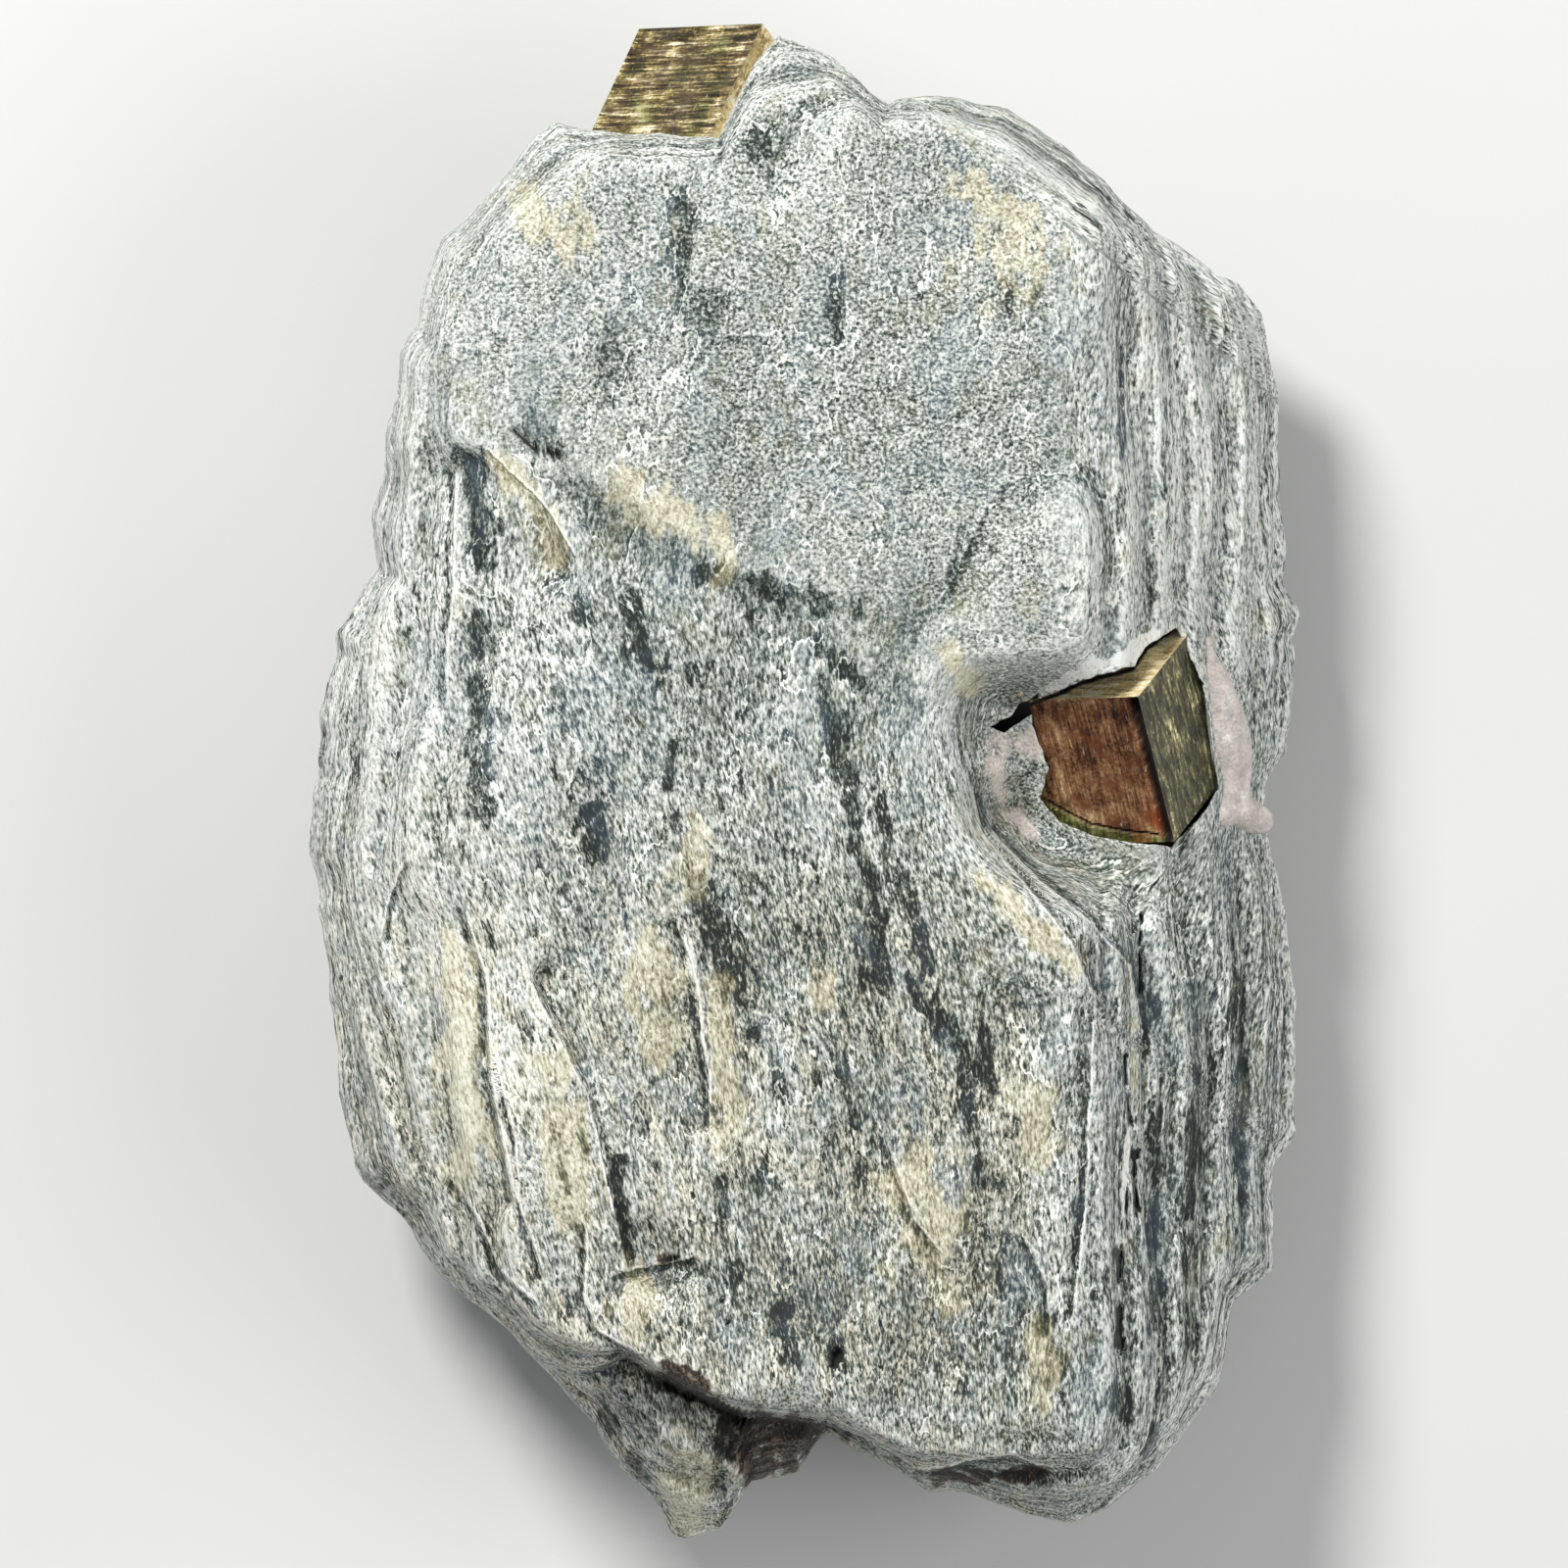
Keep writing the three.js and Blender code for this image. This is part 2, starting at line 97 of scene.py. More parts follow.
# Outline seen from above, anticlockwise from the left foot of the top crystal: x, y, rim height.
OUTLINE = [
    (-13.6, 41.2, 18.3), (-15.8, 41.8, 17), (-17.4, 40.6, 16), (-18.6, 38.8, 15),
    (-20.7, 36.6, 14), (-22.9, 34.4, 14), (-23.8, 32.3, 14), (-24.6, 28.9, 14),
    (-25.7, 27.3, 14), (-25.9, 24.6, 14), (-26.4, 22.8, 14), (-26.7, 20, 13),
    (-27.6, 16.9, 13), (-27, 13.7, 13), (-28.6, 11, 13), (-29.6, 9.6, 13),
    (-29.6, 8.3, 13), (-30.7, 4.8, 12), (-31.1, -0.9, 12), (-31.4, -4.3, 12),
    (-30.7, -8.4, 12), (-30, -11.6, 12), (-29.9, -14.2, 12), (-29.4, -19.5, 12),
    (-28.6, -24.1, 11), (-28, -25.1, 11), (-26, -26.8, 11), (-24.9, -27.8, 11),
    (-23.5, -30.6, 10), (-21.2, -32.5, 10), (-18.7, -34.7, 10), (-16.1, -37.6, 9),
    (-13.4, -40.4, 9), (-11.6, -43.4, 9), (-9.5, -45.5, 9), (-8.4, -47.3, 9),
    (-7.5, -47.6, 9), (-5.4, -47.1, 9), (-4.8, -46.3, 8), (-3.5, -44, 7),
    (-1.6, -43.9, 7), (-0.5, -43.6, 7), (0.6, -41.7, 8), (1.4, -41.1, 10),
    (3.7, -42.3, 11), (5.9, -43.3, 11), (7.8, -44.7, 11), (10.1, -44.7, 11),
    (14, -46.2, 11), (16.8, -46.7, 11), (18.9, -45.7, 11), (22.3, -43.1, 10),
    (24.3, -40.4, 10), (26.2, -37.5, 9), (27, -32.7, 9), (29.6, -30.7, 8),
    (29.7, -27, 8), (29.6, -24.3, 8), (31.2, -22.1, 8), (31, -20.3, 8),
    (30.9, -13.1, 8), (30.4, -8.8, 8), (29.1, -2.2, 9), (29.1, 0, 9),
    (30.6, 2.1, 8), (30.9, 6.2, 8), (30.8, 9, 8), (31.4, 10.7, 8),
    (30.5, 12.8, 8), (30, 18.3, 8), (30, 24.6, 9), (28.8, 29.7, 11),
    (27.3, 31.7, 12), (25.1, 32.7, 13), (21.7, 35.1, 14), (18.9, 38, 16),
    (16, 40.3, 17), (12.6, 42.4, 18), (9.4, 43.1, 19), (5.9, 43.2, 19),
    (5, 42.9, 19), (4, 43.5, 19), (1.6, 45.8, 19), (-1.7, 47, 19.8),
    (-3.2, 45.2, 21.5), (-4.8, 42, 23.2), (-5.4, 40.3, 24.6), (-7.5, 40.7, 23.2), (-10.6, 41, 21),
]

# Flanks that fall away from a face: a point on the crest, the way out and the slope in degrees.
FRONT_FLANKS = [
    ((17.1, 0), 0, 55), ((9.5, 39.5), 52, 46), ((-21.5, 0), 180, 43), ((-23.5, -8), 196, 56),
    ((-18.5, 32), 150, 42), ((-19, 34), 128, 57), ((-17.5, -30.5), 227, 50), ((0, -40.5), 270, 58),
    ((22, -38.5), 308, 50), ((24.5, -22), 342, 66), ((-2, 41.5), 96, 52),
]
BACK_FLANKS = [
    ((22, 0), 4, 40), ((21, -20), 340, 47), ((14, -35), 296, 38), ((0, -37), 266, 44),
    ((-13, -29), 232, 40), ((-21, -10), 192, 52), ((-18, 12), 168, 43), ((-13, 28), 138, 49),
    ((4, 31), 86, 53), ((18, 25), 47, 42),
]

# Broken layer edges: path, drop on the right of the path's way (left, below 0), ramp and reach.
SCARPS = [
    (((-17.4, 22.2), (-7.5, 16.6), (2.3, 11.7), (6.6, 7.4)), 0.9, 3.6, 6),
    (((-19.8, 20.9), (-16.1, 17.3), (-14.3, 14.2)), 1.2, 1.4, 6),
    (((-17.1, -12.3), (-13.7, -19), (-12.5, -24), (-11.2, -30.1)), -1.3, 0.6, 6),
    (((-21.1, -8), (-19.8, -12.3), (-19.5, -18.4), (-18, -25.8)), 1.2, 0.5, 5),
    (((-10.6, -35), (-7.5, -36.9), (-3.8, -38.4), (0.5, -39), (3.6, -40)), 7, 1.2, 30),
]

# Thin layer edges, in the same way. Each shows as a fine pale line, partly mica and partly painted
# highlight, with a painted shadow beside it.
THIN_SCARPS = [
    (((-19.3, -16.6), (-18.8, -19), (-18, -22.1), (-17.8, -25.8), (-16.2, -30.4)), 0.35),
    (((-25.1, -5), (-25.6, -6.1), (-26.2, -7.9), (-26.4, -9.7)), -0.3),
    (((-21.9, -24.7), (-20.8, -26.2), (-19.5, -28.8), (-19, -30.2), (-16.8, -32.1)), 0.4),
    (((-13.6, -27.6), (-13.7, -32.4)), 0.4),
    (((-8, -8.5), (-7.1, -11), (-6.6, -13.4), (-6.4, -15.8), (-6, -18), (-5.9, -21.1)), 0.35),
    (((-2.2, 27.8), (-4.7, 27.9), (-5.7, 27.7), (-6.7, 26.8), (-7.5, 25.6)), -0.15),
    (((12.1, 18.7), (10.7, 16.5), (9.4, 13.3), (8.3, 11.4)), -0.15),
    (((-21.7, 19.3), (-21.8, 16.1), (-21.9, 11.6), (-22.3, 8.3), (-22.3, 5.1)), 0.4),
    (((17.7, -12.9), (16.4, -9.8), (13.7, -6.4), (10.9, -3), (10, 0.6)), 0.5),
    (((20.8, -15.3), (20.1, -11.3), (17.7, -8.6), (14.6, -6.1), (11.5, -3)), 0.5),
    (((7, -42.6), (8.8, -42.4), (10, -41.9), (12.8, -41.5), (14.9, -42.4)), 1.2),
    (((17.9, -14), (17.6, -20), (17.4, -26), (16.6, -33)), 0.5),
    (((-11.5, -30.2), (-8.6, -29.7), (-7.2, -29.3)), 0.8),
    (((5, -22), (6.8, -27), (8.4, -29)), 0.3),
    (((-13.6, -32), (-13, -33.9), (-10.3, -35.3)), 0.5),
    (((13.5, -28), (15, -31), (15.2, -34)), 0.3),
]
THIN_RAMP = 0.35
THIN_REACH = 2.5
FULL_LINE_DROP = 0.35

# Swells and hollows: centre, half widths, turn in degrees, and height.
SWELLS = [
    ((13.5, 14.5), (6, 4.5), -15, 1.2),
    ((10.4, 3.6), (2.8, 5), 10, -3.2),
    ((15.5, -3.5), (5.5, 3.2), -35, -2.4),
    ((13.5, -9), (3, 4.5), 35, 1.3),
    ((-1.5, -41), (3.2, 2.6), 0, -4),
    ((-10, -30), (3.4, 2.8), 20, -1.3),
    ((20.8, -18), (0.7, 9), 3, -1.5),
    ((-4, 28), (9, 8), 0, 0.6),
]
FINE_SWELLS = [
    ((-10.9, -32.3), (2.2, 2), 0, 0.9),
    ((-11.4, -37.2), (1.3, 1.2), 0, 0.8),
    ((-20.7, 17), (1, 2.6), 5, -0.7),
    ((-14.5, 16), (1, 3.4), 33, 0.5),
    ((-7.2, -31.5), (1, 2.4), 10, 0.5),
]

# Broad changes of tone, in the same way. Above 0 is paler. They are partly the stone's own tone and partly
# painted light and shade: paler on the left and the upper right, darker low down and on the lower right.
TONE_AND_PAINTED_LIGHT = [
    ((-25, 0), (6, 22), 5, 0.08), ((-18, 30), (9, 9), 0, 0.03), ((24, 20), (6, 16), 0, 0.09),
    ((-17, -20), (5, 10), 15, 0.05), ((-6, 8), (9, 5), -30, -0.025), ((25, -22), (5, 20), 0, -0.04),
    ((2, -33), (13, 5), 0, -0.07), ((4, -12), (11, 10), 0, -0.03), ((-2, 24), (12, 10), 0, -0.02),
    ((16, -42), (7, 4), 20, -0.05), ((10, -27), (5, 7), 0, -0.03),
]

# Pits and cracks, as strokes: two ends and a half width. They are painted near black as their shade.
PITS = [
    ((20.4, -23), (20.6, -26.4), 0.25), ((20, -25.5), (19.9, -27.6), 0.2),
    ((19.6, -28.9), (19.4, -30.7), 0.35), ((19.3, -32.6), (19.3, -35), 0.35),
    ((-18.2, 22), (-16.6, 20.6), 0.25), ((-16.6, 20.6), (-15.3, 20.5), 0.2),
    ((-8.6, -29.5), (-8.2, -29.4), 0.35),
    ((-5.1, -31.9), (-5, -33.5), 0.2), ((1.8, -35.3), (1.8, -35.9), 0.25),
    ((18.6, -45.4), (18.2, -45.8), 0.5), ((-8.5, -36.9), (-4, -39.6), 0.45),
    ((19.8, -17), (20.1, -21), 0.15), ((20.9, -8), (20.8, -13), 0.12),
]

# Each crystal is a cube: its upper right corner in front, the ways of two edges, and its edge.
SIDE_CRYSTAL = {
    "corner": (20.63, 5.44, 26.5),
    "right": (0.895, 0.025, 0.446),
    "down": (0.229, -0.882, -0.41),
    "edge": 10.2,
}
TOP_CRYSTAL = {
    "corner": (-2.74, 47.5, 20.2),
    "right": (0.79, 0.012, 0.617),
    "down": (-0.359, -0.797, 0.477),
    "edge": 9.8,
}

# The open crack over the side crystal, as a dark line painted on it as the shadow under the schist's lip:
# path, half width and fading.
GAP_PATH = (
    (11.2, 3.6), (12.9, 4), (13.6, 4.8), (15.2, 5.5), (17.2, 6.4), (20.4, 7.3), (21.2, 8.5), (22.7, 9.6),
)
GAP_WIDTH = 0.1
GAP_FADING = 0.1

# A chip of pyrite over that crack: its outline and thickness, and how deep it is set.
CHIP = [(13.1, 5.5), (13.9, 5.6), (15.1, 6.2), (15.6, 6.7), (14.4, 6.7), (13.2, 6.3)]
CHIP_THICKNESS = 0.7
CHIP_SUNK = 0.4
CHIP_BEVEL = 0.08

# The crack across the side crystal's front face, from its centre.
SIDE_CRACK = ((-3.4, -1.8), (-1.95, -2.85), (-0.34, -3.8), (2.13, -4.36), (4, -4.63))

# The holes in the schist through which the side crystal shows, anticlockwise.
SIDE_WINDOW = [
    (14, 5.1), (14.1, 3.7), (14.7, 2.1), (15.1, 1), (14.6, -0.9), (15.9, -2.4), (18, -3.2),
    (20.1, -3.6), (22.7, -3.9), (23.5, -3.2), (24.9, -1.7), (25.8, -0.3), (25.3, 3.3),
    (24.8, 6.3), (23.1, 9.8), (21.2, 8.6), (20.4, 7.4), (17.2, 6.5),
]
GAP_WINDOW = [
    (11.4, 3.6), (12.3, 3.2), (13.3, 3.9), (14.5, 4.7), (14.5, 5.7), (13.3, 5), (12.8, 4.3),
]
WINDOW_DEPTH = 2.4
WINDOW_ROOM = 5
WINDOW_STEP = 0.25
WINDOW_JAG = 0.09

# Parts of the schist's mesh, as material numbers.
FRONT, BACK, CUT = 0, 1, 2

# Quartz that grew beside the side crystal: balls along it, as x, y, radius, and how deep they sink.
QUARTZ_BEADS = [
    (25.2, 7, 0.9), (25.9, 5, 1.2), (26.4, 2.5, 1.4), (26.6, 0.4, 1.1), (26.5, -1.5, 1.1),
    (27.3, -1.8, 1.2), (28.2, -2.2, 1),
]
QUARTZ_FILM = [
    (25, 9, 0.45), (25.1, 7.8, 0.6), (25.3, 6, 0.8), (25.6, 4.2, 1), (25.9, 2, 1.1), (26.3, 0.6, 0.9),
    (26.2, -0.8, 0.7), (26, -1.9, 0.9),
]
QUARTZ_SUNK = 0.6
QUARTZ_SPREAD = 1.15
QUARTZ_STEPS = 7
QUARTZ_VOXEL = 0.16
QUARTZ_EVENING = 45

# Dark green chlorite, as strokes: two ends and a half width. Two are painted shadow: the first, beside the
# top crystal's foot, and the one down the crack at (9.8, 15.5).
DARK_STROKES = [
    ((-3.4, 40.3), (-2.3, 38.5), 1.1), ((-8.1, 35.7), (-6.3, 27.7), 1.4),
    ((2, 31.4), (1.7, 27.7), 0.6), ((-12.1, 28), (-12.1, 24.9), 1.4),
    ((-10.9, 11.7), (-9.7, 7.4), 0.7), ((-8.1, 2.5), (-8.8, 0), 0.5),
    ((-20.4, 9.9), (-20.4, -1.8), 0.9), ((-20.8, 19.7), (-20.1, 14.8), 1.2),
    ((-13.4, -1.8), (-13.1, -3.7), 0.9), ((-2.3, 0.3), (-2.2, -1.2), 0.6),
    ((1, 6.8), (4, -6.1), 0.9), ((4.2, -7.3), (4.2, -11.7), 0.9),
    ((-6.6, -6.4), (-3.5, -15.3), 1), ((6.9, -12.9), (9.4, -16), 0.9),
    ((9.7, -17.2), (11.2, -24.6), 0.7), ((-2.9, -24), (-2.2, -26.4), 0.7),
    ((-5.1, -24.6), (-5.1, -26.4), 0.4), ((-4.5, -30.1), (-4.6, -32.6), 0.6),
    ((1.7, -34.7), (1.7, -35.9), 0.6), ((16.9, -26.4), (16.8, -28.9), 0.6),
    ((15.5, -33.2), (15.2, -36.9), 0.9), ((12.1, 30.8), (12.8, 28.9), 0.7),
    ((14.4, 30.8), (14.1, 29.2), 0.4), ((-27.8, -24.3), (-26.9, -25.3), 0.9),
    ((-16.8, 22.2), (-15.2, 20.6), 0.9), ((-1.4, -33.2), (-1.1, -35.3), 0.9),
    ((-11.8, -23.3), (-11.2, -28.9), 0.6), ((10.9, -14.7), (11.5, -19), 0.6),
    ((-12.2, -39.6), (-10, -43.6), 0.7), ((-5.4, -40), (-5.1, -46.4), 0.6),
    ((-20.8, 18.6), (-20.6, 16), 0.8), ((-6.5, 13.5), (3, 10.8), 0.8), ((0.5, 8.5), (3.5, 6.5), 0.9),
    ((19.6, 27), (19.6, 16), 0.3), ((22.3, 24), (22.5, 15), 0.3),
    ((9.8, 15.5), (9, 12.8), 0.5), ((-14.3, 13), (-13.8, 10.5), 0.8), ((5.6, -4.6), (7.6, -11.6), 0.5),
    ((24, -18), (24, -36), 0.6), ((27, -12), (27.4, -26), 0.5), ((21.8, -20), (21.6, -34), 0.4),
    ((19, -38), (20.8, -41), 1), ((2, -16.5), (2.8, -21), 0.5), ((-2, -16), (-1.6, -19), 0.5),
]

# Cream and tan mica, as strokes.
CREAM_STROKES = [
    ((10.9, 36), (13.1, 32.6), 2.2), ((-21.7, -11), (-21.1, -23.3), 1.6),
    ((-15.5, -18.4), (-14.3, -26.4), 1.5), ((-9.7, -10.4), (-8.8, -16), 1.7),
    ((-5.4, -12.9), (-4.8, -22.1), 1.1), ((-6.9, -3.7), (-7.5, -5.5), 1.5),
    ((1.2, -12), (1.2, -12.8), 1), ((6.6, -24), (8.5, -30.1), 2.2),
    ((14, -19), (14.6, -22.7), 1.4), ((14.6, -33.8), (14.7, -38.1), 1),
    ((8.9, 8.3), (10, 6.2), 0.8), ((-18.9, 20.3), (-15.2, 14.8), 0.9),
    ((-11.2, 18.5), (-5.1, 14.2), 1.5), ((-17.4, 36), (-14.3, 33.9), 1.5),
    ((-7.5, -42.4), (-7.5, -46.4), 1.7), ((11.2, -6.1), (16.5, -11.3), 0.8),
    ((20.4, -14.7), (20.4, -19), 0.3), ((-10.6, -30.7), (-10.6, -33.8), 1.2),
]

# Pale white mica, as strokes: the lip over the side crystal and the crack's edge.
PALE_STROKES = [
    ((15.2, 6), (17.4, 7.1), 0.45), ((17.4, 7.1), (20.3, 8), 0.6), ((20.3, 8), (21.6, 9.6), 0.5),
    ((20.1, -19.6), (19.8, -25.2), 0.15), ((19.8, -25.2), (19.3, -30), 0.15),
    ((-7.5, -9), (-6.2, -17), 0.3),
]

# Dark brown, as strokes: the recess beside the lug and the underside of the lower lip. It is partly iron
# stain and partly painted shade there.
BROWN_STROKES = [
    ((-4, -40.6), (0, -41.4), 1.7), ((-2.8, -43), (-0.8, -42.8), 1.2), ((-9.6, -36.8), (-4, -39.4), 0.5),
    ((-3.6, -39.6), (2.5, -40.5), 0.5), ((7.5, -43.2), (14.5, -43), 0.5), ((-8.9, -29.6), (-8, -29.4), 0.4),
    ((-8.6, -36), (-6.3, -37.4), 0.4),
]

# Heights between which that dark brown appears.
BROWN_HEIGHTS = (5, 10)

# Smooth pinkish grey quartz film beside the side crystal, as strokes.
PINK_STROKES = [
    ((12.6, 2.7), (14.3, 2.5), 1), ((11.7, 1.2), (12.3, -1.6), 0.6), ((12.3, -1.6), (13.9, -3), 0.5),
    ((25.3, 8.4), (25.6, 10), 0.25),
]

# All these strokes, by the name of the vertex value that they fill.
STROKES = {
    "dark": DARK_STROKES, "cream": CREAM_STROKES, "pale": PALE_STROKES, "pink": PINK_STROKES,
    "brown": BROWN_STROKES,
}

# Sandy tint: its least and most share, and where it fades upwards and to the right.
WARM_SHARES = (0.2, 0.8)
WARM_TOP = (-16, 4)
WARM_RIGHT = (12, 17)

# Rounds of evening that tell small raised edges and broad swells from their surroundings. The material
# paints raised edges and swells paler and hollows darker, as painted highlight and shade.
EDGE_ROUNDS = 5
SWELL_ROUNDS = 40

# Mesh of a crystal: cuts along each edge, and depth of the striations on its faces.
CRYSTAL_CUTS = 63
SIDE_STRIATIONS = {"front": 0.09, "right": 0.07, "top": 0.16}
TOP_STRIATIONS = {"front": 0.16, "right": 0.1, "top": 0.1, "left": 0.1}

# The crack's depth and half width, and the notch down the side crystal's near edge: its depth,
# distance from the edge and half widths at both ends.
CRACK_DEPTH = 0.3
CRACK_WIDTH = 0.04
NOTCH_DEPTH = 0.75
NOTCH_INSET = 0.42
NOTCH_WIDTHS = (0.24, 0.36)

# Camera: the point that it looks at, its height over that, and the width of its view there.
LOOK_AT = (-1.38, 0.03, 13)
CAMERA_HEIGHT = 1400
VIEW_WIDTH = 98.4
SENSOR_WIDTH_MM = 36

# Floor, lights, sky and the camera's range, in metres and watts. A light has a place, a width and
# a power.
FLOOR_REACH = 1.5
KEY_LIGHT = ((-0.22, 0.34, 0.46), 0.16, 4.6)
FILL_LIGHT = ((0.5, -0.1, 0.4), 0.5, 2.2)
SKY_COLOUR = (0.95, 0.97, 1, 1)
SKY_STRENGTH = 0.36
CAMERA_RANGE = (0.01, 10)

SEED = 7
NOISE_TABLE = 256
NOISE_GAIN = 1.6


# Arithmetic on whole arrays of points

def smooth(value, low, high):
    """0 below low, 1 above high, eased between."""
    share = np.clip((value - low) / (high - low), 0, 1)
    return share * share * (3 - 2 * share)


def blend(start, end, share):
    return start + (end - start) * share


def noise_tables():
    random = np.random.default_rng(SEED)
    gradients = random.normal(size=(NOISE_TABLE, 3))
    gradients /= np.linalg.norm(gradients, axis=1, keepdims=True)
    return random.permutation(NOISE_TABLE), gradients


SHUFFLE, GRADIENTS = noise_tables()


def noise(x, y, z=0.0, seed=0):
    """Smooth gradient noise about 0, one lump to a unit."""
    places = np.stack(np.broadcast_arrays(x, y, z)).astype(float)
    cells = np.floor(places).astype(int)
    inside = places - cells
    eased = inside ** 3 * (inside * (inside * 6 - 15) + 10)
    total = np.zeros(places.shape[1:])
    for corner in itertools.product((0, 1), repeat=3):
        key = seed
        weight = 1.0
        for axis in range(3):
            key = SHUFFLE[(key + cells[axis] + corner[axis]) % NOISE_TABLE]
            weight = weight * (eased[axis] if corner[axis] else 1 - eased[axis])
        offsets = [inside[axis] - corner[axis] for axis in range(3)]
        total += weight * sum(GRADIENTS[key, axis] * offsets[axis] for axis in range(3))
    return total * NOISE_GAIN


def soft_minimum(heights):
    """Minimum of many heights, rounded where they meet."""
    stacked = np.stack(np.broadcast_arrays(*heights))
    lowest = stacked.min(axis=0)
    return lowest - CREST_SOFTNESS * np.log(np.exp((lowest - stacked) / CREST_SOFTNESS).sum(axis=0))


def beside_path(x, y, path):
    """Distance to a path, and how far right of the path's nearest stretch each point is."""
    nearest = np.full(np.shape(x), np.inf)
    rightward = np.zeros(np.shape(x))
    for (ax, ay), (bx, by) in zip(path, path[1:]):
        dx = bx - ax
        dy = by - ay
        share = np.clip(((x - ax) * dx + (y - ay) * dy) / (dx * dx + dy * dy), 0, 1)
        distance = np.hypot(x - ax - share * dx, y - ay - share * dy)
        closer = distance < nearest
        rightward = np.where(closer, (dy * (x - ax) - dx * (y - ay)) / math.hypot(dx, dy), rightward)
        nearest = np.where(closer, distance, nearest)
    return nearest, rightward


def stroke_mask(x, y, strokes):
    """1 inside any stroke, easing to 0 outside its uneven edge."""
    mask = np.zeros(np.shape(x))
    uneven = noise(x / 1.5, y / 2.6, seed=77) + 0.7 * noise(x / 0.55, y / 1.1, seed=78)
    for start, end, width in strokes:
        distance, _ = beside_path(x, y, (start, end))
        distance = distance + width * uneven
        mask = np.maximum(mask, 1 - smooth(distance, 0.3 * width, 1.3 * width))
    return mask


# Form of the schist, the same as the solids

def crystal_axes(crystal):
    """A crystal's own directions: right, up and front, square to each other."""
    right = Vector(crystal["right"]).normalized()
    front = Vector(crystal["down"]).cross(right).normalized()
    return right, front.cross(right), front


def corner_plane(x, y, crystal, normal):
    """Height of the plane through a crystal's corner with a given normal."""
    cx, cy, cz = crystal["corner"]
    return cz - (normal.x * (x - cx) + normal.y * (y - cy)) / normal.z


def scarp_drop(x, y, path, drop, ramp, reach):
    """How much lower the ground is for one broken layer edge. Below 0, it is lower on the left."""
    distance, rightward = beside_path(x, y, path)
    beside = np.clip(math.copysign(1, drop) * rightward, 0, None) / np.maximum(distance, 1e-6)
    return abs(drop) * beside ** 3 * np.exp(-distance / reach) * smooth(distance, 0, ramp)


def swell_height(x, y, at, half, turn, height):
    angle = math.radians(turn)
    dx = x - at[0]
    dy = y - at[1]
    along = (dx * math.cos(angle) + dy * math.sin(angle)) / half[0]
    across = (dy * math.cos(angle) - dx * math.sin(angle)) / half[1]
    return height * np.exp(-(along ** 2 + across ** 2))


def foliation_waves(x, y):
    first = np.sin(0.62 * x + 0.11 * y + 1.3) * np.cos(0.09 * x - 0.17 * y)
    second = np.sin(0.31 * x - 0.13 * y + 0.4) * np.sin(0.22 * y + 0.7)
    return 0.35 * first + 0.4 * second


def flank_fall(x, y, crest, toward, slope):
    angle = math.radians(toward)
    beyond = (x - crest[0]) * math.cos(angle) + (y - crest[1]) * math.sin(angle)
    return beyond * math.tan(math.radians(slope))


def ledge_height(x, y, height):
    layers = (height + 0.12 * x - 0.05 * y + 0.8 * np.sin(0.2 * x - 0.16 * y)) / LAYER
    return LEDGE * np.sin(2 * math.pi * layers)


def window_distance(x, y):
    """Distance from the window's edge."""
    return beside_path(x, y, SIDE_WINDOW + SIDE_WINDOW[:1])[0]


def hugging_height(x, y, height):
    """Beside and below the side crystal the schist follows the crystal's own faces."""
    right, _, front = crystal_axes(SIDE_CRYSTAL)
    near = 1 - smooth(window_distance(x, y), HUG_FROM, HUG_TO)
    below_lip = 1 - smooth(y, LIP_FROM, LIP_TO)
    faces = np.minimum(corner_plane(x, y, SIDE_CRYSTAL, front), corner_plane(x, y, SIDE_CRYSTAL, right))
    return blend(height, np.minimum(height, faces + FILM), near * below_lip)


def face_height(x, y):
    """Height of the shown face, before fine relief."""
    flanks = [FACE_HEIGHT - flank_fall(x, y, *flank) for flank in FRONT_FLANKS]
    height = soft_minimum([FACE_HEIGHT, *flanks]) + foliation_waves(x, y)
    for scarp in SCARPS:
        height = height - scarp_drop(x, y, *scarp)
    height = height + ledge_height(x, y, height)
    for swell in SWELLS:
        height = height + swell_height(x, y, *swell)
    return hugging_height(x, y, height)


def pit_mask(x, y):
    return smooth(stroke_mask(x, y, PITS), 0.25, 0.8)


def layer_edge(x, y):
    """Signed distance to the nearest layer edge, and how surely a line shows along it there."""
    nearest = np.full(np.shape(x), np.inf)
    signed = np.zeros(np.shape(x))
    shown = np.zeros(np.shape(x))
    edges = [(scarp[0], scarp[1]) for scarp in SCARPS[1:-1]] + THIN_SCARPS
    for path, drop in edges:
        distance, rightward = beside_path(x, y, path)
        closer = distance < nearest
        beside = np.abs(rightward) / np.maximum(distance, 1e-6)
        signed = np.where(closer, math.copysign(1, drop) * np.sign(rightward) * distance, signed)
        strength = min(1, abs(drop) / FULL_LINE_DROP) * smooth(beside, 0.6, 0.9)
        shown = np.where(closer, strength * (1 - smooth(distance, 0.7, 1)), shown)
        nearest = np.minimum(nearest, distance)
    return np.clip(signed, -1, 1), shown


def torn_face(x, y):
    """The shown face with its thin layer edges, small swells and pits."""
    height = face_height(x, y)
    for path, drop in THIN_SCARPS:
        height = height - scarp_drop(x, y, path, drop, THIN_RAMP, THIN_REACH)
    for swell in FINE_SWELLS:
        height = height + swell_height(x, y, *swell)
    height = fine_relief(x, y, height, seed=30) - PIT_DEPTH * pit_mask(x, y)
    return height - TOP_EASING * np.clip(height - TOP_OF_CAD + 1, 0, None)


def back_height(x, y):
    """Height of the back, which lies flat on the floor except in shallow hollows."""
    hollows = np.sin(0.16 * x + 0.5) * np.cos(0.09 * y - 0.3)
    flanks = [-flank_fall(x, y, *flank) for flank in BACK_FLANKS]
    risen = -soft_minimum([0, *flanks]) - CREST_SOFTNESS
    height = np.maximum(np.maximum(0, risen), BACK_HOLLOW * (hollows - 0.25))
    return np.maximum(0, height + np.clip(height / LAYER, 0, 1) * ledge_height(x, y, height))


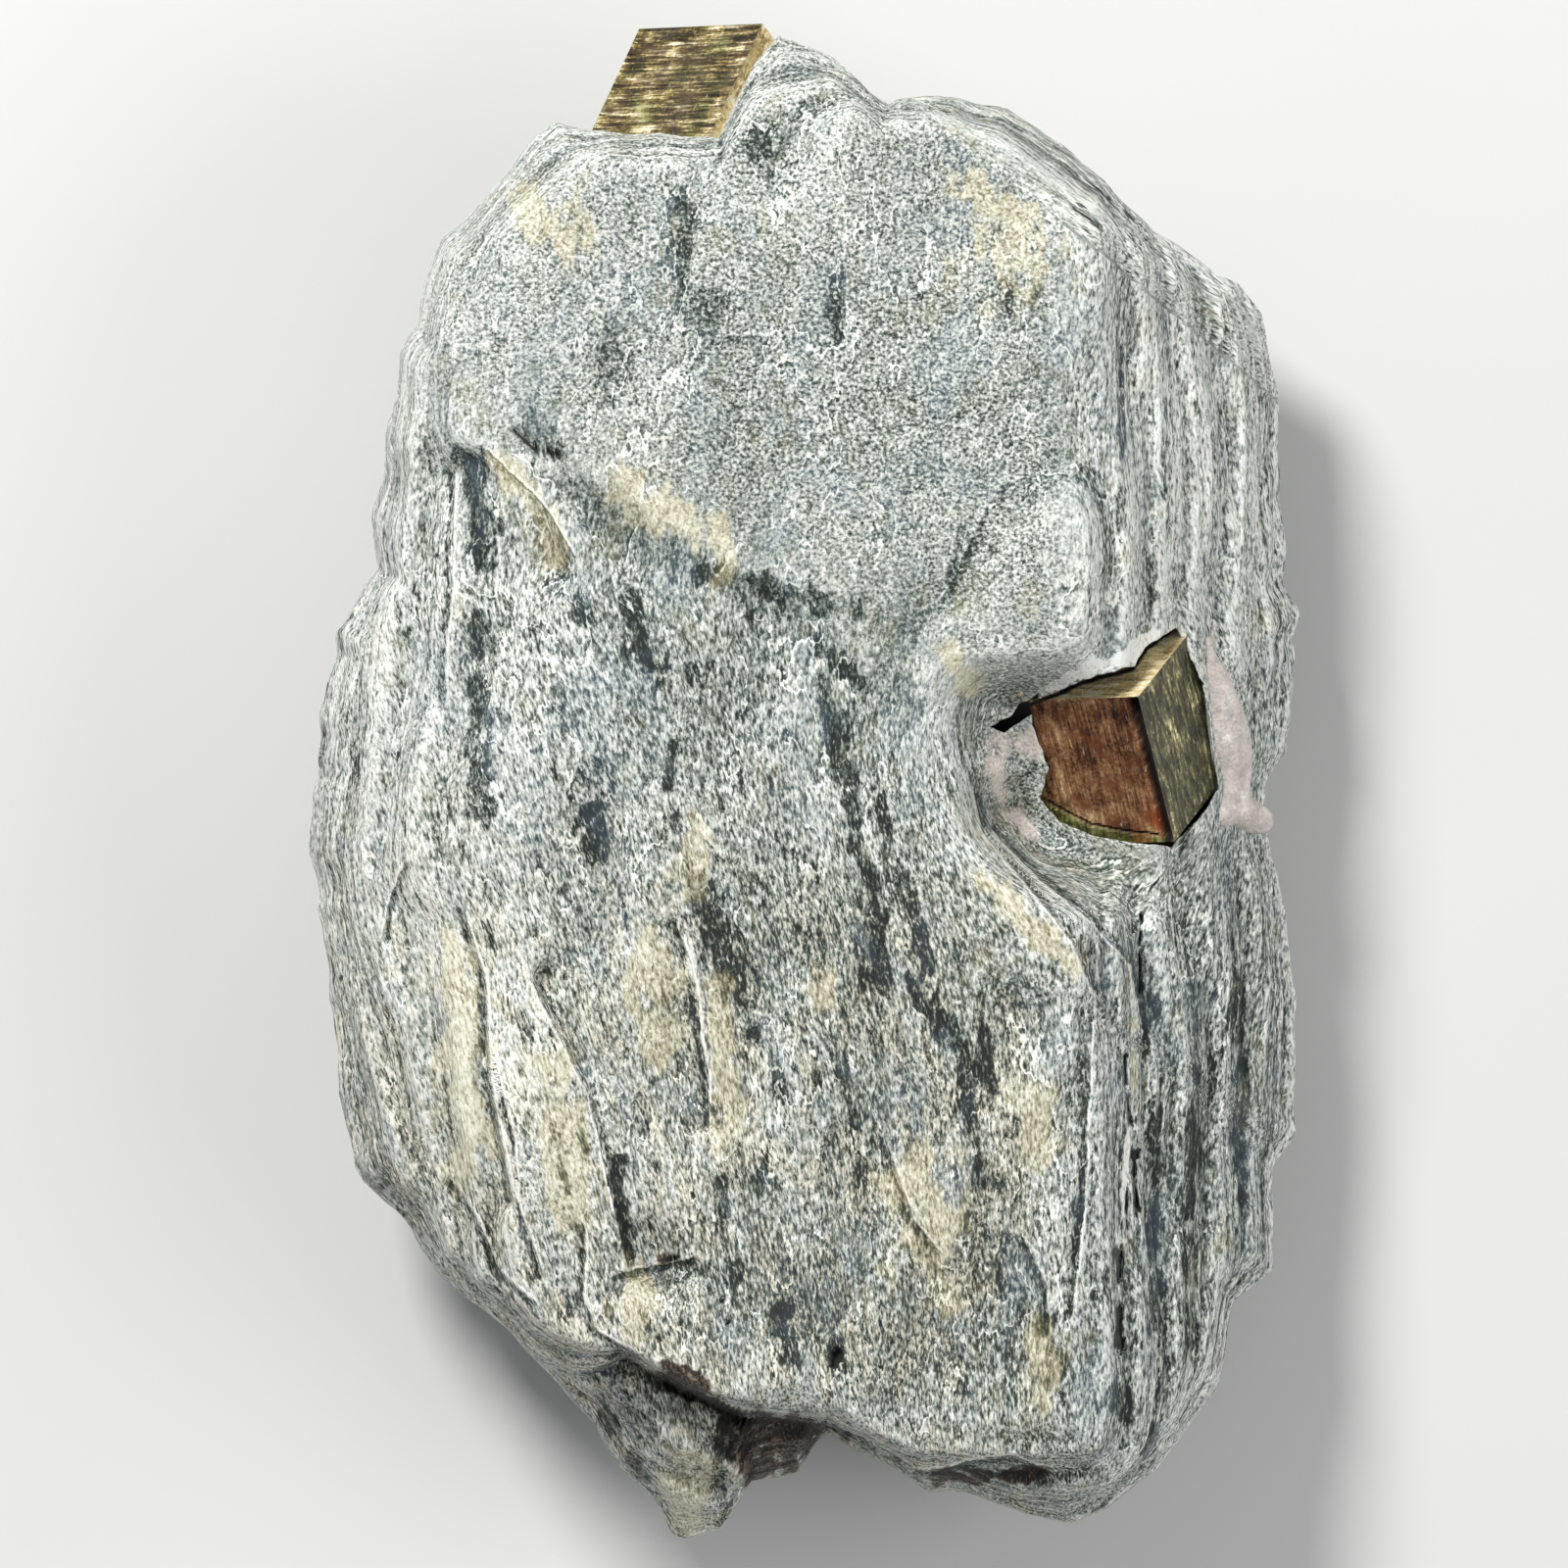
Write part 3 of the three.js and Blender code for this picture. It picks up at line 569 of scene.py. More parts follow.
def rim_at(angle):
    """Radius and height of the rim where the ray at each angle crosses the outline."""
    corners = sorted((math.atan2(y, x) % (2 * math.pi), x, y, z) for x, y, z in OUTLINE)
    angles, xs, ys, heights = np.array(corners).T
    turned = angle % (2 * math.pi)
    after = np.searchsorted(angles, turned, side="right") % len(angles)
    before = (after - 1) % len(angles)
    start = xs[before] * np.sin(turned) - ys[before] * np.cos(turned)
    end = xs[after] * np.sin(turned) - ys[after] * np.cos(turned)
    share = start / (start - end)
    x = blend(xs[before], xs[after], share)
    y = blend(ys[before], ys[after], share)
    return np.hypot(x, y), blend(heights[before], heights[after], share)


# Fine relief of the schist

def lineation(x, y):
    """Place across the lineation, which leans on the left and parts around the side crystal."""
    across = x + LEAN * np.minimum(y, LEAN_TOP) * (1 - smooth(x, *LEAN_SPAN))
    beside = x - PARTING_CENTRE[0]
    distance = np.hypot(beside, y - PARTING_CENTRE[1])
    around = 1 - (PARTING_RADIUS / np.maximum(distance, PARTING_RADIUS)) ** 2
    within = 2 * np.minimum(distance / PARTING_RADIUS - 1, 0)
    across = across + beside * (np.where(distance < PARTING_RADIUS, within, around) - 1)
    on_shoulder = flank_fall(x, y, SHOULDER_CREST, SHOULDER_WAY, 45) > 0.3
    return np.where(on_shoulder, 0.7 * x + y, across)


def streakiness(x, y):
    """0 where grains are round, as on the upper face, and 1 where they are drawn out."""
    on_right = smooth(x, *FLANK_STREAKS)
    on_shoulder = SHOULDER_STREAKS * smooth(flank_fall(x, y, SHOULDER_CREST, SHOULDER_WAY, 45), 0, 1)
    streaky = np.maximum(1 - smooth(y + 0.5 * x, *FACE_STREAKS), np.maximum(on_right, on_shoulder))
    return streaky * smooth(np.hypot(x - PARTING_CENTRE[0], y - PARTING_CENTRE[1]), 5, PARTING_RADIUS + 3)


def terraced(height, thickness):
    """A height pulled to the nearest layer, which leaves a steep riser between layers."""
    layers = height / thickness
    below = np.floor(layers)
    return (below + smooth(layers - below, 0.5 - RISER, 0.5 + RISER)) * thickness


def fine_relief(x, y, height, seed):
    """Thin layers that end in ledges, and streaks and grains that stand out of them."""
    across = lineation(x, y)
    streaky = streakiness(x, y)
    torn = 0.7 * smooth(noise(across / 5, y / 15, seed=seed + 3), 0.1, 0.5) * streaky
    deep = 0.7 * smooth(FACE_HEIGHT - height, 2.5, 6) * smooth(20 - y + x, -6, 6)
    showing = np.maximum(torn, deep) * smooth(window_distance(x, y), 1.5, 6)
    for number, (thickness, strength) in enumerate(THIN_LAYERS):
        warp = 0.8 * thickness * noise(across / 4, y / 26, seed=seed + number)
        warp = warp + 0.12 * thickness * noise(x / 1.3, y / 3.1, seed=seed + 5 + number)
        tilted = height + warp + 0.05 * x - 0.02 * y
        height = height + showing * strength * (terraced(tilted, thickness) - tilted)
    streaks = noise(across / 1.1, y / 7, seed=seed + 9) + 0.6 * noise(across / 0.5, y / 2.6, seed=seed + 10)
    streaks = streaks * blend(0.3, 1, streaky) * smooth(window_distance(x, y), 0.5, 3)
    lumps = noise(x / 3.1, y / 3.7, seed=seed + 12)
    grains = noise(x / 0.8, y / 0.8, seed=seed + 11)
    return height + STREAK_RELIEF * (streaks + lumps) + GRAIN_RELIEF * grains


def turned_over(inward, width):
    """How far a surface has turned over towards the rim: 0 inside, 1 on the rim."""
    outward = 1 - np.clip(inward / width, 0, 1)
    return 1 - np.sqrt(1 - outward ** 2)


def ring_and_angle(u, v):
    """A square grid's place, -1 to 1 each way, as a ring from the centre and an angle."""
    wide = np.abs(u) >= np.abs(v)
    with np.errstate(divide="ignore", invalid="ignore"):
        sideways = (math.pi / 4) * np.nan_to_num(v / u) + np.where(u < 0, math.pi, 0)
        upright = math.pi / 2 - (math.pi / 4) * np.nan_to_num(u / v) + np.where(v < 0, math.pi, 0)
    return np.where(wide, np.abs(u), np.abs(v)), np.where(wide, sideways, upright)


def torn_back(x, y):
    """The back with its fine relief, which is faint where it lies on the floor."""
    plain = back_height(x, y)
    rough = np.maximum(0, fine_relief(x, y, plain, seed=60))
    return blend(plain, rough, np.clip(plain / 1.2, 0, 1) * 0.9 + 0.1)


def rim_noise(angle, lumps, z=0.0, seed=0):
    """Noise that runs around the rim."""
    return noise(lumps * np.cos(angle), lumps * np.sin(angle), z, seed)


def sheet_points(is_front):
    """Grid of points on the front or the back of the schist, in millimetres."""
    steps = np.linspace(-1, 1, GRID)
    ring, angle = ring_and_angle(*np.meshgrid(steps, steps))
    radius, rim_height = rim_at(angle)
    jag = rim_noise(angle, 6, seed=20) + rim_noise(angle, 19, seed=21)
    radius = radius - RIM_JAG * np.clip(0.5 + 0.5 * jag, 0, 1.5)
    share = 1 - (1 - ring) ** RIM_CROWDING
    x = radius * share * np.cos(angle)
    y = radius * share * np.sin(angle)
    inward = radius * (1 - share)
    if is_front:
        face = np.maximum(torn_face(x, y), rim_height)
        over = turned_over(inward, FRONT_ROUNDING)
    else:
        face = np.minimum(torn_back(x, y), rim_height - LEDGE)
        over = turned_over(inward, BACK_ROUNDING)
    z = blend(face, rim_height, over)
    z = z + RIM_WAVE * rim_noise(angle, 9, seed=23) * smooth(ring, 0.97, 1)
    layers = rim_noise(angle, 6, z / 0.9, seed=22)
    notch = RIM_NOTCH * np.clip(0.4 + layers, 0, 1) * smooth(over, 0.02, 0.35) * (1 - smooth(over, 0.9, 1))
    x = x - notch * np.cos(angle)
    y = y - notch * np.sin(angle)
    return np.stack([x, y, z], axis=-1)


def body_mesh():
    """The closed schist, with material numbers that tell its front from its back."""
    front = sheet_points(True)
    back = sheet_points(False)
    numbers = np.arange(GRID * GRID).reshape(GRID, GRID)
    back_numbers = numbers + GRID * GRID
    rim = np.ones((GRID, GRID), bool)
    rim[1:-1, 1:-1] = False
    back_numbers[rim] = numbers[rim]
    quads = [quads_of(numbers), quads_of(back_numbers)[:, ::-1]]
    faces = np.concatenate(quads)
    points = np.concatenate([front.reshape(-1, 3), back.reshape(-1, 3)])
    used, inverse = np.unique(faces, return_inverse=True)
    mesh = bpy.data.meshes.new("schist_body")
    mesh.from_pydata((points[used] * MM).tolist(), [], inverse.reshape(faces.shape).tolist())
    mesh.polygons.foreach_set("material_index", np.repeat([FRONT, BACK], [len(quads[0]), len(quads[1])]))
    mesh.update()
    return mesh


def quads_of(numbers):
    corners = [numbers[:-1, :-1], numbers[:-1, 1:], numbers[1:, 1:], numbers[1:, :-1]]
    return np.stack([corner.reshape(-1) for corner in corners], axis=1)


# Objects

def placed(name, data):
    """A new object in the scene."""
    thing = bpy.data.objects.new(name, data)
    bpy.context.collection.objects.link(thing)
    return thing


def with_modifiers(thing):
    """An object's mesh with its modifiers applied."""
    graph = bpy.context.evaluated_depsgraph_get()
    return bpy.data.meshes.new_from_object(thing.evaluated_get(graph))


# Window in front of the side crystal

def crystal_surface(x, y):
    """Height of the side crystal's three shown faces."""
    planes = [corner_plane(x, y, SIDE_CRYSTAL, normal) for normal in crystal_axes(SIDE_CRYSTAL)]
    return np.min(planes, axis=0)



def jagged(outline):
    """A window's edge, finely cut and a little jagged."""
    points = []
    for (ax, ay), (bx, by) in zip(outline, outline[1:] + outline[:1]):
        length = math.hypot(bx - ax, by - ay)
        pieces = max(1, round(length / WINDOW_STEP))
        for i in range(pieces):
            x = blend(ax, bx, i / pieces)
            y = blend(ay, by, i / pieces)
            points.append((x, y))
    x, y = np.array(points).T
    x = x + WINDOW_JAG * noise(x * 1.7, y * 1.7, seed=81)
    y = y + WINDOW_JAG * noise(x * 1.7, y * 1.7, seed=82)
    return x, y


def window_cutter(outline):
    """What is broken away in front of the side crystal: a prism whose floor lies inside the crystal."""
    x, y = jagged(outline)
    count = len(x)
    middle_x, middle_y = x.mean(), y.mean()
    top = FACE_HEIGHT + WINDOW_ROOM
    points = [*zip(x, y, crystal_surface(x, y) - WINDOW_DEPTH), *zip(x, y, np.full(count, top))]
    points.append((middle_x, middle_y, crystal_surface(middle_x, middle_y) - WINDOW_DEPTH))
    points.append((middle_x, middle_y, top))
    faces = []
    for i in range(count):
        after = (i + 1) % count
        faces.append((i, after, count + after, count + i))
        faces.append((after, i, 2 * count))
        faces.append((count + i, count + after, 2 * count + 1))
    mesh = bpy.data.meshes.new("window_room")
    mesh.from_pydata([Vector(point) * MM for point in points], [], faces)
    return mesh


def cut_mesh(body, cutter):
    """The body's mesh without the cutter's room."""
    for mesh in (body, cutter):
        while len(mesh.materials) <= CUT:
            mesh.materials.append(None)
    cutter.polygons.foreach_set("material_index", [CUT] * len(cutter.polygons))
    whole = placed("schist_whole", body)
    room = placed("window_room", cutter)
    cut = whole.modifiers.new("window", "BOOLEAN")
    cut.operation = "DIFFERENCE"
    cut.solver = "MANIFOLD"
    cut.object = room
    cut.material_mode = "INDEX"
    result = with_modifiers(whole)
    for thing in (whole, room):
        bpy.data.objects.remove(thing)
    return result


# What each vertex of the schist is made of

def read_vectors(things, name):
    values = np.zeros(len(things) * 3)
    things.foreach_get(name, values)
    return values.reshape(-1, 3)


def write_value(mesh, name, values):
    layer = mesh.attributes.new(name, "FLOAT", "POINT")
    layer.data.foreach_set("value", np.asarray(values, float))


def write_vector(mesh, name, values):
    layer = mesh.attributes.new(name, "FLOAT_VECTOR", "POINT")
    layer.data.foreach_set("vector", np.asarray(values, float).reshape(-1))


def standing_out(mesh, rounds):
    """How far each vertex stands out of its evened surroundings, in millimetres."""
    points = read_vectors(mesh.vertices, "co") / MM
    normals = read_vectors(mesh.vertices, "normal")
    edges = np.zeros(len(mesh.edges) * 2, int)
    mesh.edges.foreach_get("vertices", edges)
    ends = np.concatenate([edges[0::2], edges[1::2]])
    others = np.concatenate([edges[1::2], edges[0::2]])
    counts = np.maximum(np.bincount(ends, minlength=len(points)), 1)
    evened = points
    for _ in range(rounds):
        totals = [np.bincount(ends, evened[others, axis], len(points)) for axis in range(3)]
        evened = 0.3 * evened + 0.7 * np.stack(totals, axis=1) / counts[:, None]
    return ((points - evened) * normals).sum(axis=1)


def cut_wall(mesh):
    """1 on vertices that only the cut walls use."""
    materials = np.zeros(len(mesh.polygons), int)
    mesh.polygons.foreach_get("material_index", materials)
    sizes = np.zeros(len(mesh.polygons), int)
    mesh.polygons.foreach_get("loop_total", sizes)
    corners = np.zeros(len(mesh.loops), int)
    mesh.loops.foreach_get("vertex_index", corners)
    on_skin = np.bincount(corners[np.repeat(materials, sizes) != CUT], minlength=len(mesh.vertices))
    return on_skin == 0


def write_schist_values(mesh):
    """Vertex values that the schist's material reads."""
    x, y, z = (read_vectors(mesh.vertices, "co") / MM).T
    upward = read_vectors(mesh.vertices, "normal")[:, 2]
    shown = smooth(upward, -0.2, 0.1)
    layer = z + 0.05 * x + 1.2 * noise(x / 9, y / 16, seed=41) + 0.3 * noise(x / 2, y / 3.6, seed=42)
    write_vector(mesh, "flow", np.stack([lineation(x, y), y, layer], axis=1))
    write_vector(mesh, "place", np.stack([x, y, layer], axis=1))
    low_left = (1 - smooth(y, *WARM_TOP)) * (1 - smooth(x, *WARM_RIGHT))
    write_value(mesh, "warm", blend(*WARM_SHARES, low_left) * shown)
    for name, strokes in STROKES.items():
        mask = stroke_mask(x, y, strokes)
        if name == "brown":
            mask = mask * smooth(z, *BROWN_HEIGHTS)
        write_value(mesh, name, mask * shown)
    line, line_shown = layer_edge(x, y)
    write_value(mesh, "line", line)
    write_value(mesh, "line_shown", line_shown * shown)
    write_value(mesh, "pit", pit_mask(x, y) * shown)
    # Broad tone, partly painted light and shade.
    write_value(mesh, "tone", sum(swell_height(x, y, *tone) for tone in TONE_AND_PAINTED_LIGHT) * shown)
    write_value(mesh, "streaky", 1 - (1 - streakiness(x, y)) * shown)
    away = smooth(window_distance(x, y), 2, 6)
    write_value(mesh, "flank", (1 - smooth(np.abs(upward), 0.55, 0.9)) * blend(1, away, shown))
    write_value(mesh, "edge", standing_out(mesh, EDGE_ROUNDS))
    write_value(mesh, "swell", standing_out(mesh, SWELL_ROUNDS))
    # The walls of the cut windows are painted near black: painted shade in the gap beside the side crystal.
    write_value(mesh, "sunk", cut_wall(mesh))


# Node work

class Paint:
    """Short calls that add nodes to one material."""

    def __init__(self, name):
        self.material = bpy.data.materials.new(name)
        self.material.use_nodes = True
        self.tree = self.material.node_tree
        self.tree.nodes.clear()

    def node(self, kind, inputs=None, **settings):
        made = self.tree.nodes.new(kind)
        for key, value in settings.items():
            setattr(made, key, value)
        for key, value in (inputs or {}).items():
            if isinstance(value, bpy.types.NodeSocket):
                self.tree.links.new(value, made.inputs[key])
            else:
                made.inputs[key].default_value = value
        return made

    def value(self, name):
        return self.node("ShaderNodeAttribute", attribute_name=name).outputs["Fac"]

    def vector(self, name):
        return self.node("ShaderNodeAttribute", attribute_name=name).outputs["Vector"]

    def stretched(self, vector, factors):
        return self.node("ShaderNodeVectorMath", {0: vector, 1: factors}, operation="MULTIPLY").outputs[0]

    def moved(self, vector, offset):
        return self.node("ShaderNodeVectorMath", {0: vector, 1: offset}, operation="ADD").outputs[0]

    def noise(self, vector, scale, detail, roughness):
        inputs = {"Vector": vector, "Scale": scale, "Detail": detail, "Roughness": roughness}
        return self.node("ShaderNodeTexNoise", inputs).outputs["Fac"]

    def drawn_out(self, vector, factors, detail, roughness):
        """Noise with a scale for each axis."""
        return self.noise(self.stretched(vector, factors), 1.0, detail, roughness)

    def math(self, operation, first, second=0.0, clamp=False):
        made = self.node("ShaderNodeMath", {0: first, 1: second}, operation=operation, use_clamp=clamp)
        return made.outputs[0]

    def times(self, first, second):
        return self.math("MULTIPLY", first, second)

    def weighted(self, *terms):
        """Sum of (socket, weight) pairs."""
        total = self.times(*terms[0])
        for socket, weight in terms[1:]:
            made = self.node("ShaderNodeMath", {0: socket, 1: weight, 2: total}, operation="MULTIPLY_ADD")
            total = made.outputs[0]
        return total

    def ease(self, value, low, high, start=0.0, end=1.0):
        inputs = {"Value": value, "From Min": low, "From Max": high, "To Min": start, "To Max": end}
        return self.node("ShaderNodeMapRange", inputs, interpolation_type="SMOOTHSTEP").outputs["Result"]

    def mix(self, factor, first, second):
        """A blend of two colours. The node numbers its colour inputs 6 and 7, its colour output 2."""
        return self.node("ShaderNodeMix", {0: factor, 6: first, 7: second}, data_type="RGBA").outputs[2]

    def ramp(self, value, stops):
        made = self.node("ShaderNodeValToRGB", {"Fac": value})
        elements = made.color_ramp.elements
        elements[0].position, elements[0].color = stops[0][0], colour(stops[0][1])
        elements[1].position, elements[1].color = stops[-1][0], colour(stops[-1][1])
        for place, shade in stops[1:-1]:
            elements.new(place).color = colour(shade)
        return made.outputs["Color"]

    def bump(self, height, distance, strength):
        inputs = {"Height": height, "Distance": distance, "Strength": strength}
        return self.node("ShaderNodeBump", inputs).outputs["Normal"]

    def finish(self, **inputs):
        """The surface, from its inputs by name, with _ for a space."""
        named = {key.replace("_", " "): value for key, value in inputs.items()}
        surface = self.node("ShaderNodeBsdfPrincipled", named)
        out = self.node("ShaderNodeOutputMaterial")
        self.tree.links.new(surface.outputs[0], out.inputs[0])
        return self.material


def colour(code):
    """A colour such as "8f9a94", as the eye sees it, made linear."""
    channels = [int(code[i:i + 2], 16) / 255 for i in (0, 2, 4)]
    return (*[c / 12.92 if c <= 0.04045 else ((c + 0.055) / 1.055) ** 2.4 for c in channels], 1)


# Materials

def dark_patches(paint, flow, clumps, ragged):
    """Dark green chlorite, with a little painted shadow: its strokes, with ragged edges, and loose flecks.
    """
    streaky = paint.value("streaky")
    flecks = paint.drawn_out(paint.moved(flow, (5, 17, 9)), (0.8, 0.24, 0.6), 5, 0.7)
    flecks = paint.times(paint.ease(flecks, 0.56, 0.64), paint.ease(clumps, 0.4, 0.56))
    dark = paint.ease(paint.weighted((paint.value("dark"), 0.9), (ragged, 1.1)), 0.45, 0.72)
    dark = paint.times(dark, paint.ease(streaky, 0.0, 1.0, 0.6, 1.0))
    return paint.math("MAXIMUM", dark, paint.times(flecks, streaky))


def flake_edges(paint, flow, broad, patchy):
    """The pale edges of torn flakes, and the painted shadows beside them that make each edge read as a
    small step.
    """
    curls = paint.drawn_out(paint.moved(flow, (13, 2, 21)), (0.42, 0.2, 0.42), 4, 0.55)
    curls = paint.weighted((curls, 1.0), (1.0, -0.5))
    flaky = paint.ease(paint.math("ADD", broad, patchy), 0.9, 1.1)
    edge = paint.ease(paint.math("ABSOLUTE", curls), 0.003, 0.016, 1.0, 0.0)
    side = paint.times(paint.ease(curls, 0.006, 0.014), paint.ease(curls, 0.02, 0.06, 1.0, 0.0))
    return paint.times(edge, flaky), paint.times(side, flaky)


def layer_lines(paint, patchy):
    """The pale lines along the layer edges, partly mica and partly painted highlight, and the painted
    shadows beside them.
    """
    line = paint.weighted((paint.value("line"), 1.0), (patchy, 0.5), (1.0, -0.25))
    line_shown = paint.value("line_shown")
    white_line = paint.ease(paint.math("ABSOLUTE", line), 0.03, 0.16, 1.0, 0.0)
    shadow = paint.times(paint.ease(line, 0.06, 0.16), paint.ease(line, 0.3, 0.75, 1.0, 0.0))
    return paint.times(white_line, line_shown), paint.times(shadow, line_shown)


def stone_colour(paint, flow, tone, patchy, clumps):
    """Grey schist, bluish or sandy in places, with cream mica in its strokes."""
    grey = paint.ramp(tone, [
        (0.26, "0c1411"), (0.34, "29352f"), (0.41, "59635e"), (0.48, "888e89"),
        (0.55, "abb0ab"), (0.63, "cdcfca"), (0.76, "e9e9e3"),
    ])
    sandy = paint.ramp(tone, [
        (0.26, "0f130e"), (0.34, "31342b"), (0.41, "605f52"), (0.48, "908b78"),
        (0.55, "b2ad98"), (0.63, "d2cebb"), (0.76, "ece9dc"),
    ])
    tan = paint.ramp(paint.weighted((tone, 0.65), (1.0, 0.175)), [
        (0.26, "35341f"), (0.38, "827d5f"), (0.48, "b6b095"), (0.58, "d4cfb6"), (0.74, "f1eedb"),
    ])
    bluish = paint.ease(paint.drawn_out(flow, (0.24, 0.12, 0.3), 4, 0.65), 0.48, 0.62, 0.0, 0.5)
    shade = paint.mix(bluish, grey, paint.mix(0.35, grey, colour("6b7f92")))
    warm = paint.times(paint.value("warm"), paint.ease(clumps, 0.42, 0.6, 0.05, 0.9))
    shade = paint.mix(warm, shade, sandy)
    drifted = paint.weighted((patchy, 1.6), (clumps, 2.2), (1.0, -1.9))
    cream = paint.ease(paint.math("SUBTRACT", paint.value("cream"), drifted), -0.05, 1.15)
    return paint.mix(paint.times(cream, 0.8), shade, tan)


def marked_colour(paint, shade, tone, ragged):
    """The stone's colour with its brown stain, quartz film, pits and broken walls. The brown is partly
    painted shade in the recess and under the lip, and pits and broken walls are painted near black as
    shade.
    """
    brown = paint.ramp(tone, [(0.3, "0b0806"), (0.45, "211913"), (0.6, "46392e"), (0.74, "7d6e5f")])
    # Dark brown: partly iron stain, partly painted shade in the recess and under the lip.
    stain_and_shade = paint.ease(paint.math("ADD", paint.value("brown"), ragged), 0.1, 0.7)
    stain_and_shade = paint.times(stain_and_shade, paint.ease(paint.value("brown"), 0.0, 0.2))
    shade = paint.mix(stain_and_shade, shade, brown)
    softened = paint.weighted((tone, 0.5), (1.0, 0.28))
    film = paint.ramp(softened, [(0.3, "9c928c"), (0.5, "cbc1b9"), (0.7, "e4dcd4")])
    shade = paint.mix(paint.times(paint.value("pink"), 0.85), shade, film)
    # Painted shade: pits and cracks near black.
    pit = paint.weighted((paint.value("pit"), 1.0), (ragged, 0.35))
    shade = paint.mix(paint.ease(pit, 0.35, 0.9, 0.0, 0.9), shade, colour("12140f"))
    # Painted shade: the cut walls near black.
    return paint.mix(paint.ease(paint.value("sunk"), 0.1, 0.9), shade, colour("1d1916"))


def schist_material():
    paint = Paint("schist")
    flow = paint.vector("flow")
    round_grains = paint.noise(paint.vector("place"), 4.6, 3, 0.65)
    long_grains = paint.noise(paint.stretched(flow, (1.0, 0.36, 1.0)), 5.2, 3, 0.65)
    grains = paint.mix(paint.value("streaky"), round_grains, long_grains)
    bands = paint.drawn_out(flow, (0.12, 0.04, 2.8), 3, 0.7)
    broad = paint.drawn_out(flow, (0.16, 0.07, 0.3), 3, 0.55)
    patchy = paint.drawn_out(flow, (1.1, 0.4, 1.1), 4, 0.7)
    clumps = paint.drawn_out(paint.moved(flow, (31, 7, 3)), (0.45, 0.2, 0.4), 4, 0.65)
    ragged = paint.weighted((patchy, 3.2), (clumps, 1.6), (grains, 1.0), (1.0, -2.9))

    dark = dark_patches(paint, flow, clumps, ragged)
    pale = paint.ease(paint.weighted((paint.value("pale"), 1.0), (patchy, 1.2), (1.0, -0.6)), 0.4, 0.6)
    flake_edge, flake_shadow = flake_edges(paint, flow, broad, patchy)
    white_line, shadow = layer_lines(paint, patchy)
    # Painted highlight on raised edges and swells, and painted shade in hollows.
    edge = paint.ease(paint.value("edge"), -0.08, 0.08, -1, 1)
    swell = paint.ease(paint.value("swell"), -0.4, 0.4, -1, 1)
    banded = paint.times(paint.ease(bands, 0.4, 0.6, -0.08, 0.08), paint.value("flank"))
    tone = paint.weighted(
        (grains, 1.2), (patchy, 0.22), (clumps, 0.14), (broad, 0.12), (1.0, -0.34),
        (paint.value("tone"), 1.0), (banded, 1.0), (edge, 0.04), (swell, 0.03), (dark, -0.2),
        (pale, 0.19), (flake_edge, 0.19), (flake_shadow, -0.08), (white_line, 0.13), (shadow, -0.11),
    )
    shade = marked_colour(paint, stone_colour(paint, flow, tone, patchy, clumps), tone, ragged)
    height = paint.weighted((grains, 1.0), (banded, 1.0), (white_line, 0.6), (shadow, -0.5))
    normal = paint.bump(height, 0.0002, 0.7)
    rough = paint.ease(tone, 0.4, 0.7, 0.75, 0.45)
    return paint.finish(Base_Color=shade, Roughness=rough, Normal=normal, Specular_IOR_Level=0.4)


def pyrite_material(name, stops, across, tarnish, metal, streaks=1.4, rough=0.34):
    """Striated pyrite. Its stops are its colours, and across is how the striations run."""
    paint = Paint(name)
    place = paint.vector("local")
    lines = paint.noise(paint.stretched(place, across), 1.6, 5, 0.72)
    cloud = paint.noise(place, 0.4, 3, 0.6)
    specks = paint.noise(place, 4.5, 3, 0.7)
    crackle = paint.node(
        "ShaderNodeTexVoronoi", {"Vector": paint.stretched(place, (0.9, 0.9, 1.5)), "Scale": 1.6},
        feature="DISTANCE_TO_EDGE",
    ).outputs["Distance"]
    veins = paint.times(paint.ease(crackle, 0.0, 0.07, 1.0, 0.0), paint.value("crackled"))
    tone = paint.weighted(
        (lines, streaks), (cloud, 0.8), (specks, 0.5), (1.0, -0.15 - streaks / 2), (veins, 0.3),
    )
    shade = paint.ramp(tone, stops)
    stain = paint.ease(paint.noise(paint.moved(place, (9, 3, 5)), 0.7, 4, 0.65), 0.48, 0.62)
    shade = paint.mix(paint.times(stain, 0.6), shade, colour(tarnish))
    olive = paint.ramp(tone, [(0.3, "23220f"), (0.5, "5f5f33"), (0.7, "a19f68")])
    shade = paint.mix(paint.value("olive"), shade, olive)
    # Painted reflection: an orange glow near the right edge of the side crystal's front.
    shade = paint.mix(paint.times(paint.value("painted_reflection"), 0.8), shade, colour("a8501c"))
    # Painted glints: pale streaks of light on the pyrite's faces.
    painted_glints = paint.ease(paint.noise(paint.stretched(place, (2.2, 0.5, 1.0)), 2.0, 3, 0.7), 0.64, 0.72)
    shade = paint.mix(paint.times(painted_glints, 0.55), shade, colour("e9ddc4"))
    # Painted shade: near black, dull and not metallic where sunk is set.
    sunk = paint.value("sunk")
    shade = paint.mix(sunk, shade, colour("060403"))
    height = paint.weighted((lines, 1.0), (specks, 0.25), (veins, 0.6))
    normal = paint.bump(height, 0.00012, 0.8)
    dull = paint.math("ADD", paint.ease(cloud, 0.35, 0.65, rough, rough + 0.18), sunk, clamp=True)
    shine = paint.ease(sunk, 0.0, 0.5, metal, 0.0)
    return paint.finish(Base_Color=shade, Metallic=shine, Roughness=dull, Normal=normal)


